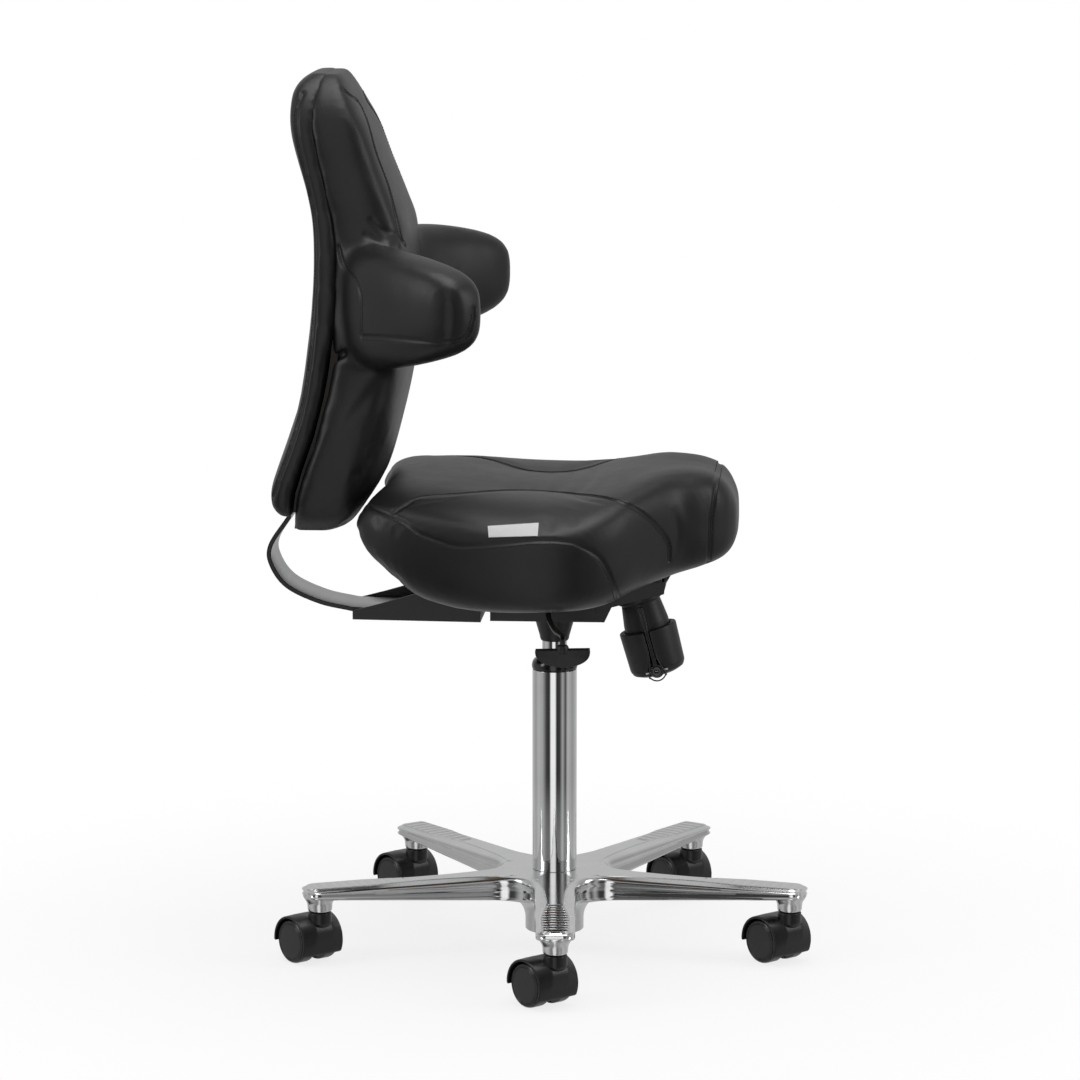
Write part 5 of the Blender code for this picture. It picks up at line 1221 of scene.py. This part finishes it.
def applied(made):
    bpy.context.view_layer.update()
    graph = bpy.context.evaluated_depsgraph_get()
    result = bpy.data.meshes.new_from_object(made.evaluated_get(graph))
    made.modifiers.clear()
    made.data = result
    return made


def surfaceTree(made):
    mesh = made.data
    corners = [tuple(face.vertices) for face in mesh.polygons]
    return BVHTree.FromPolygons([vertex.co.copy() for vertex in mesh.vertices], corners)


def seamOn(tree, seam):
    # a seam is drawn in the plane y = plane, then cast from the eye's side on to the surface
    eye = Vector(shot["place"])
    found = []
    for x, _, z in curveThrough([(x, 0.0, z) for x, z in seam["points"]], 14):
        target = Vector((x, seam["plane"], z)) + columnAxis
        hit = tree.ray_cast(eye, (target - eye).normalized())[0]
        if hit is not None:
            found.append(hit)
    line = evenly(found, padding["seamStep"])
    mirrored = [Vector((p.x, 2 * columnAxis.y - p.y, p.z)) for p in line]
    return [line, [tree.find_nearest(p)[0] for p in mirrored]]


def evenly(points, gap):
    made = [points[0]]
    left = gap
    for a, b in zip(points, points[1:]):
        length = (b - a).length
        if length > 0.05:
            continue
        run = 0.0
        while length - run >= left:
            run += left
            made.append(a.lerp(b, run / length))
            left = gap
        left -= length - run
    return made


def seamDistance(lines):
    points = [p for line in lines for p in line]
    tree = KDTree(len(points))
    for i, p in enumerate(points):
        tree.insert(p, i)
    tree.balance()
    return tree


def inflated(made, seams, held):
    # pressure swells the cushion between its seams; the seams and held places stay put
    mesh = made.data
    rest = [v.co.copy() for v in mesh.vertices]
    tree = seamDistance([line for lines in seams for line in lines])
    reach = padding["pinReach"]
    pin = made.vertex_groups.new(name="held")
    for i, place in enumerate(rest):
        gap = tree.find(place)[2]
        if gap < reach or held(place - columnAxis):
            pin.add([i], 1.0 if gap < reach * 0.6 or held(place - columnAxis) else 0.6, "REPLACE")
    cloth = made.modifiers.new("cloth", "CLOTH")
    settings = cloth.settings
    settings.use_pressure = True
    settings.uniform_pressure_force = padding["pressure"]
    settings.vertex_group_mass = "held"
    settings.quality = 4
    settings.mass = 0.4
    settings.tension_stiffness = settings.compression_stiffness = 20.0
    settings.bending_stiffness = 2.0
    settings.effector_weights.gravity = 0.0
    cloth.collision_settings.use_collision = False
    cloth.point_cache.frame_start = 1
    cloth.point_cache.frame_end = padding["frames"]
    scene = bpy.context.scene
    for step in range(1, padding["frames"] + 1):
        scene.frame_set(step)
    applied(made)
    scene.frame_set(1)
    cap = padding["cap"]
    for vertex, place in zip(made.data.vertices, rest):
        move = vertex.co - place
        if move.length > cap:
            vertex.co = place + move * (cap / move.length)
    return made


def grooved(made, seams, depth, width):
    # one subdivision, a finer band along the seams, then the seams sink in
    step = made.modifiers.new("smooth", "SUBSURF")
    step.levels = step.render_levels = 1
    applied(made)
    tree = seamDistance([line for lines in seams for line in lines])
    form = bmesh.new()
    form.from_mesh(made.data)
    near = {v for v in form.verts if tree.find(v.co)[2] < padding["fineReach"]}
    edges = [e for e in form.edges if e.verts[0] in near and e.verts[1] in near]
    bmesh.ops.subdivide_edges(form, edges=edges, cuts=1, use_grid_fill=True)
    form.normal_update()
    for vertex in form.verts:
        gap = tree.find(vertex.co)[2]
        if gap < width * 3:
            vertex.co -= vertex.normal * depth * math.exp(-(gap / width) ** 2)
    form.to_mesh(made.data)
    form.free()
    made.data.shade_smooth()
    return made


def stitched(name, made, seams, body):
    # rows of short stitches beside each seam
    tree = surfaceTree(made)
    shells = []
    half = padding["stitchLength"] / 2
    for lines, rows in seams:
        for line in lines:
            if len(line) < 6:
                continue
            run = evenly(line, padding["stitchPitch"])
            for row in rows:
                for i in range(1, len(run) - 1):
                    way = (run[i + 1] - run[i - 1]).normalized()
                    spot, normal, _, _ = tree.find_nearest(run[i])
                    side = normal.cross(way).normalized()
                    spot, normal, _, _ = tree.find_nearest(run[i] + side * row)
                    rise = normal * (padding["stitchRadius"] * 0.5)
                    ends = [spot - way * half - rise, spot - way * half * 0.6 + rise,
                            spot + way * half * 0.6 + rise, spot + way * half - rise]
                    shells.append(tubeShell(ends, padding["stitchRadius"], 6))
    points, faces = gathered(*shells)
    return piece(name, points, faces, ["thread"], body, sharp=80.0, origin=Vector((0, 0, 0)))


def cushion(name, points, faces, body, replaces, seams, held, creases=(), blend=None):
    made = remeshed(points, faces, padding["voxel"], blend)
    made.name = name
    tree = surfaceTree(made)
    lines = [seamOn(tree, seam) for seam in seams]
    inflated(made, lines, held)
    tree = surfaceTree(made)
    lines = [[[tree.find_nearest(p)[0] for p in line] for line in pair] for pair in lines]
    grooved(made, lines, padding["grooveDepth"], padding["grooveWidth"])
    for crease in creases:
        crumple(made, crease)
    made.data.materials.append(look["leather"])
    rows = [seam.get("rows", (padding["rowGap"],)) for seam in seams]
    settle(made, body, replaces)
    stitched(name + "_stitches", made, list(zip(lines, rows)), body)
    print(name, "made,", len(made.data.vertices), "points")
    return made


def crumple(made, crease):
    # a few short folds: (x, z) pairs in a plane, cast on to the surface
    tree = surfaceTree(made)
    lines = seamOn(tree, crease)
    near = seamDistance(lines)
    normals = [v.normal.copy() for v in made.data.vertices]
    for vertex, normal in zip(made.data.vertices, normals):
        gap = near.find(vertex.co)[2]
        if gap < crease["width"] * 3:
            vertex.co -= normal * crease["depth"] * math.exp(-(gap / crease["width"]) ** 2)


seat = {
    "top": [(-0.190, 0.520), (-0.182, 0.537), (-0.160, 0.546), (-0.100, 0.546), (-0.030, 0.540),
            (0.030, 0.540), (0.080, 0.550), (0.125, 0.562), (0.165, 0.561), (0.190, 0.550),
            (0.203, 0.528), (0.209, 0.505)],
    "low": [(-0.190, 0.500), (-0.182, 0.477), (-0.155, 0.446), (-0.130, 0.425), (-0.080, 0.413),
            (0.010, 0.413), (0.062, 0.418), (0.095, 0.430), (0.133, 0.440), (0.178, 0.452),
            (0.200, 0.466), (0.209, 0.490)],
    "half": [(-0.190, 0.150), (-0.182, 0.172), (-0.155, 0.195), (-0.100, 0.215), (-0.020, 0.226),
             (0.040, 0.220), (0.080, 0.192), (0.110, 0.150), (0.140, 0.112), (0.170, 0.092),
             (0.195, 0.070), (0.209, 0.040)],
    "bow": 0.019, "dish": 0.007, "count": 96, "step": 0.005,
    "panRoom": {"back": -0.126, "front": 0.104, "half": 0.119, "top": 0.4418},
}
seatSeams = [
    {"plane": -0.17, "rows": (0.0036,), "points": [
        (-0.165, 0.523), (-0.152, 0.531), (-0.135, 0.540), (-0.091, 0.545), (-0.045, 0.549),
        (-0.005, 0.549), (0.036, 0.546), (0.071, 0.541), (0.100, 0.530), (0.123, 0.510),
        (0.135, 0.492), (0.136, 0.473)]},
    {"plane": -0.21, "rows": (0.0036, -0.0036), "points": [
        (-0.188, 0.537), (-0.152, 0.522), (-0.133, 0.508), (-0.112, 0.500), (-0.089, 0.494),
        (-0.045, 0.497), (-0.005, 0.501), (0.028, 0.500), (0.047, 0.493), (0.064, 0.481),
        (0.076, 0.458), (0.083, 0.434), (0.084, 0.423)]},
    {"plane": -0.06, "rows": (0.0036,), "points": [
        (0.186, 0.562), (0.183, 0.545), (0.180, 0.520), (0.177, 0.501), (0.176, 0.467),
        (0.174, 0.452)]},
]


def makeSeat():
    s = seat
    ring = superRing(s["count"], (0.58, 0.58), (0.36, 0.40))
    rings = []
    x = s["top"][0][0]
    while x < s["top"][-1][0]:
        top, low, half = (follow(s[key], x) for key in ("top", "low", "half"))
        row = []
        for up, across in ring:
            y = half * across
            z = (top + low) / 2 + (top - low) / 2 * up
            rear = min(max((-0.110 - x) / 0.080, 0.0), 1.0)
            inside = max(1.0 - (y / (half * 0.9)) ** 2, 0.0)
            if up > 0:
                z -= s["dish"] * inside ** 1.5 * up * min((x + 0.190) / 0.05, 1.0)
            row.append(Vector((x - s["bow"] * rear * (y / half) ** 2, y, z)))
        rings.append(row)
        x += s["step"]
    faces = skin(rings)
    room = s["panRoom"]

    def held(p):
        inside = room["back"] < p.x < room["front"] and abs(p.y) < room["half"]
        return p.z < 0.436 and inside or p.z < 0.428

    made = cushion("seat_leather", [p for r in rings for p in r], faces, "seat", ["seat_cushion"],
                   seatSeams, held)
    # room below for the pan, the frame and the channel
    plan = softened([(room["back"], -room["half"], 0.0), (room["front"], -room["half"], 0.0),
                     (room["front"], room["half"], 0.0), (room["back"], room["half"], 0.0)],
                    0.045, 6, closed=True)
    pan = prismShell([(p.x, p.y) for p in plan], 0.36, room["top"], "Z")
    arm = boxShell((-0.163, -0.048, 0.36), (-0.108, 0.048, 0.4315), Matrix.Identity(4))
    booleanOut(made, [pan])
    booleanOut(made, [arm])
    return made


seatLeather = makeSeat()


back = {
    "rear": [(0.506, -0.2985), (0.520, -0.3065), (0.537, -0.3075), (0.560, -0.3000),
             (0.593, -0.2880), (0.626, -0.2775), (0.660, -0.2710), (0.750, -0.2620),
             (0.826, -0.2615), (0.860, -0.2680), (0.924, -0.2850), (0.957, -0.2870),
             (0.979, -0.2810), (0.996, -0.2600)],
    "split": [(0.490, -0.2850), (0.506, -0.2820), (0.530, -0.2790), (0.560, -0.2700), (0.600, -0.2560),
              (0.650, -0.2440), (0.690, -0.2380), (0.750, -0.2340), (0.810, -0.2360),
              (0.860, -0.2440), (0.900, -0.2530), (0.945, -0.2600), (0.996, -0.2480)],
    "front": [(0.490, -0.2350), (0.498, -0.2180), (0.517, -0.2040), (0.544, -0.1930),
              (0.600, -0.1780), (0.633, -0.1690), (0.680, -0.1600), (0.750, -0.1560),
              (0.820, -0.1580), (0.850, -0.1680), (0.890, -0.1840), (0.933, -0.2000),
              (0.955, -0.2120), (0.978, -0.2250), (0.992, -0.2340)],
    "half": [(0.490, 0.098), (0.506, 0.118), (0.530, 0.128), (0.600, 0.130), (0.680, 0.124),
             (0.750, 0.116), (0.820, 0.107), (0.900, 0.098), (0.945, 0.090), (0.975, 0.072),
             (0.996, 0.044)],
    # wings: (forward, across, half thickness, half height) from the stem out to the rounded end
    "wings": [(-0.203, 0.020, 0.030, 0.060), (-0.200, 0.070, 0.035, 0.066), (-0.183, 0.118, 0.037, 0.067),
              (-0.154, 0.158, 0.037, 0.062), (-0.125, 0.186, 0.036, 0.055), (-0.101, 0.206, 0.033, 0.047),
              (-0.086, 0.218, 0.028, 0.038), (-0.078, 0.2245, 0.020, 0.027), (-0.0745, 0.2275, 0.010, 0.013)],
    "wingLevel": [(0.0, 0.741), (0.118, 0.741), (0.170, 0.744), (0.232, 0.747)],
    "low": 0.506, "high": 0.996,
    "entry": (-0.2935, 0.506), "lean": 11.0, "pocketHalf": 0.036, "pocketThick": 0.0030,
    "pocketTop": 0.629,
}
rearSeams = [
    {"plane": -0.09, "rows": (0.0034,), "points": [
        (-0.3075, 0.523), (-0.2990, 0.548), (-0.2860, 0.582), (-0.2745, 0.620), (-0.2665, 0.660),
        (-0.2605, 0.710), (-0.2570, 0.770), (-0.2570, 0.826), (-0.2640, 0.870), (-0.2740, 0.915),
        (-0.2765, 0.948), (-0.2690, 0.972)]},
]
frontSeams = [
    {"plane": -0.09, "rows": (0.0034,), "points": [
        (-0.225, 0.976), (-0.214, 0.967), (-0.207, 0.961), (-0.198, 0.940), (-0.189, 0.907),
        (-0.175, 0.868), (-0.163, 0.816), (-0.157, 0.806)]},
    {"plane": -0.13, "rows": (0.0034,), "points": [
        (-0.227, 0.808), (-0.222, 0.790), (-0.211, 0.775), (-0.204, 0.759), (-0.203, 0.741),
        (-0.203, 0.712)]},
    {"plane": -0.20, "rows": (0.0034, -0.0034), "points": [
        (-0.195, 0.719), (-0.165, 0.7175), (-0.135, 0.715), (-0.108, 0.713), (-0.084, 0.718),
        (-0.075, 0.735), (-0.073, 0.751)]},
    {"plane": -0.125, "rows": (0.0060, -0.0060), "points": [
        (-0.221, 0.694), (-0.234, 0.683), (-0.246, 0.647), (-0.255, 0.594), (-0.270, 0.557),
        (-0.287, 0.521)]},
]
wingFolds = [
    {"plane": -0.125, "width": 0.0050, "depth": 0.0045, "points": [
        (-0.224, 0.690), (-0.234, 0.683), (-0.246, 0.647), (-0.255, 0.594), (-0.270, 0.557),
        (-0.287, 0.521)]},
    {"plane": -0.13, "width": 0.0040, "depth": 0.0018, "points": [
        (-0.196, 0.822), (-0.180, 0.812), (-0.160, 0.808)]},
    {"plane": -0.13, "width": 0.0035, "depth": 0.0015, "points": [
        (-0.190, 0.838), (-0.176, 0.826), (-0.163, 0.822)]},
]


def overlap(level):
    # the two covers close over the board above the side channel
    share = min(max((level - 0.680) / 0.040, 0.0), 1.0)
    return 0.0045 * share - 0.0007 * (1.0 - share)


def makeBack():
    b = back
    ring = superRing(84, (0.24, 0.24), (0.50, 0.42))
    rings = []
    level = b["low"]
    while level <= b["high"]:
        end = min(level - b["low"], b["high"] - level)
        inset = 0.006 * max(1.0 - end / 0.009, 0.0) ** 2
        half = follow(b["half"], level) - inset
        rear = follow(b["rear"], level) + inset
        split = follow(b["split"], level) + overlap(level)
        rings.append([Vector(((rear + split) / 2 + (split - rear) / 2 * along, half * across, level))
                      for along, across in ring])
        level += 0.005
    lean = math.radians(b["lean"])
    rise = Vector((math.sin(lean), 0.0, math.cos(lean)))

    def heldRear(p):
        return p.x > follow(b["split"], p.z) + overlap(p.z) - 0.005 or p.z < b["low"] + 0.006

    rear = cushion("back_rear_leather", [p for r in rings for p in r], skin(rings), "back",
                   ["back_rear_cushion"], rearSeams, heldRear)
    entry = Vector((b["entry"][0], 0.0, b["entry"][1]))
    end = entry + rise * ((b["pocketTop"] - entry.z) / rise.z)
    out = Vector((-rise.z, 0.0, rise.x)) * b["pocketThick"]
    across = Vector((0.0, b["pocketHalf"], 0.0))
    pocket = [[c - out - across, c - out + across, c + out + across, c + out - across]
              for c in (entry - rise * 0.03, end)]
    booleanOut(rear, [([p for r in pocket for p in r], skin(pocket))])

    stem = []
    level = 0.490
    stemRing = superRing(96, (0.50, 0.46), (0.20, 0.20))
    while level <= 0.9921:
        half = follow(b["half"], level)
        low = follow(b["split"], level) - overlap(level)
        high = follow(b["front"], level)
        stem.append([Vector(((low + high) / 2 + (high - low) / 2 * along, half * side, level))
                     for along, side in stemRing])
        level += 0.004
    shells = [([p for r in stem for p in r], skin(stem))]
    wingRing = superRing(56, (0.62, 0.62), (0.62, 0.62))
    for hand in (-1, 1):
        path = curveThrough([(x, y * hand, 0.0) for x, y, _, _ in b["wings"]], 8)
        sizes = curveThrough([(thick, tall, 0.0) for _, _, thick, tall in b["wings"]], 8)
        wing = []
        for i, (centre, size) in enumerate(zip(path, sizes)):
            way = (path[min(i + 1, len(path) - 1)] - path[max(i - 1, 0)]).normalized()
            out = Vector((-way.y, way.x, 0.0))
            level = follow(b["wingLevel"], abs(centre.y))
            wing.append([centre + out * (size.x * along) + Vector((0.0, 0.0, level + size.y * up))
                         for along, up in wingRing])
        shells.append(([p for r in wing for p in r], skin(wing)))
    points, faces = gathered(*shells)

    def blend(p):
        # strongest where the wings leave the stem
        side = max(1.0 - abs(abs(p.y) - 0.122) / 0.040, 0.0)
        edge = max(1.0 - min(abs(p.z - 0.674), abs(p.z - 0.812)) / 0.045, 0.0)
        return min(side * edge * 3.0, 1.0)

    def heldFront(p):
        behind = p.x < follow(b["split"], p.z) + 0.005
        return behind and abs(p.y) < 0.13 or p.z < 0.497

    cushion("back_front_leather", points, faces, "back", ["back_front_cushion"], frontSeams,
            heldFront, wingFolds, blend)


makeBack()


tab = {"plane": -0.20, "corners": [(-0.059, 0.514), (-0.004, 0.518), (-0.005, 0.504), (-0.058, 0.502)],
       "rise": 0.0011}


def makeTab():
    tree = surfaceTree(seatLeather)
    eye = Vector(shot["place"])
    c = [Vector((x, 0.0, z)) for x, z in tab["corners"]]
    columns, rows = 28, 8
    outer, inner = [], []
    for i in range(rows + 1):
        for j in range(columns + 1):
            u, v = j / columns, i / rows
            flat = (c[0].lerp(c[1], u)).lerp(c[3].lerp(c[2], u), v)
            target = Vector((flat.x, tab["plane"], flat.z)) + columnAxis
            hit, normal, _, _ = tree.ray_cast(eye, (target - eye).normalized())
            outer.append(hit + normal * tab["rise"])
            inner.append(hit + normal * 0.0001)
    width = columns + 1
    faces = []
    total = len(outer)
    for i in range(rows):
        for j in range(columns):
            a = i * width + j
            faces.append((a, a + 1, a + 1 + width, a + width))
            faces.append(tuple(total + k for k in (a + width, a + 1 + width, a + 1, a)))
    border = list(range(columns)) + [i * width + columns for i in range(rows)]
    border += [rows * width + j for j in range(columns, 0, -1)] + [i * width for i in range(rows, 0, -1)]
    for a, b in zip(border, border[1:] + border[:1]):
        faces.append((b, a, total + a, total + b))
    piece("seat_blank_tab", outer + inner, faces, ["tab"], "seat", sharp=60.0, origin=Vector((0, 0, 0)))


makeTab()


keptLooks = {
    "guide_bush": "hood", "thrust_bearing": "zinc", "piston_rod": "chrome",
    "rod_clip": "zinc", "bump_stop": "rubber", "release_pin": "zinc", "tilt_axle": "zinc",
    "tilt_frame": "powder", "cross_pin": "zinc", "eye_bolt": "zinc", "spring_nut": "zinc",
    "tension_spring": "zinc", "crank_pin": "zinc", "back_channel": "powder", "bar_bolt": "zinc",
    "back_board": "darkWood", "seat_pan": "wood",
}


def dressKept():
    for name, node in frame["nodes"].items():
        wanted = keptLooks.get(name)
        if wanted is None:
            wanted = "zinc" if name.startswith(("seat_bolt", "caster_")) else None
        if wanted is None:
            continue
        node.data.materials.clear()
        node.data.materials.append(look[wanted])
        if name in ("back_channel", "tilt_frame"):
            bevelled(node, 0.0007)


dressKept()
print("kept pieces dressed")
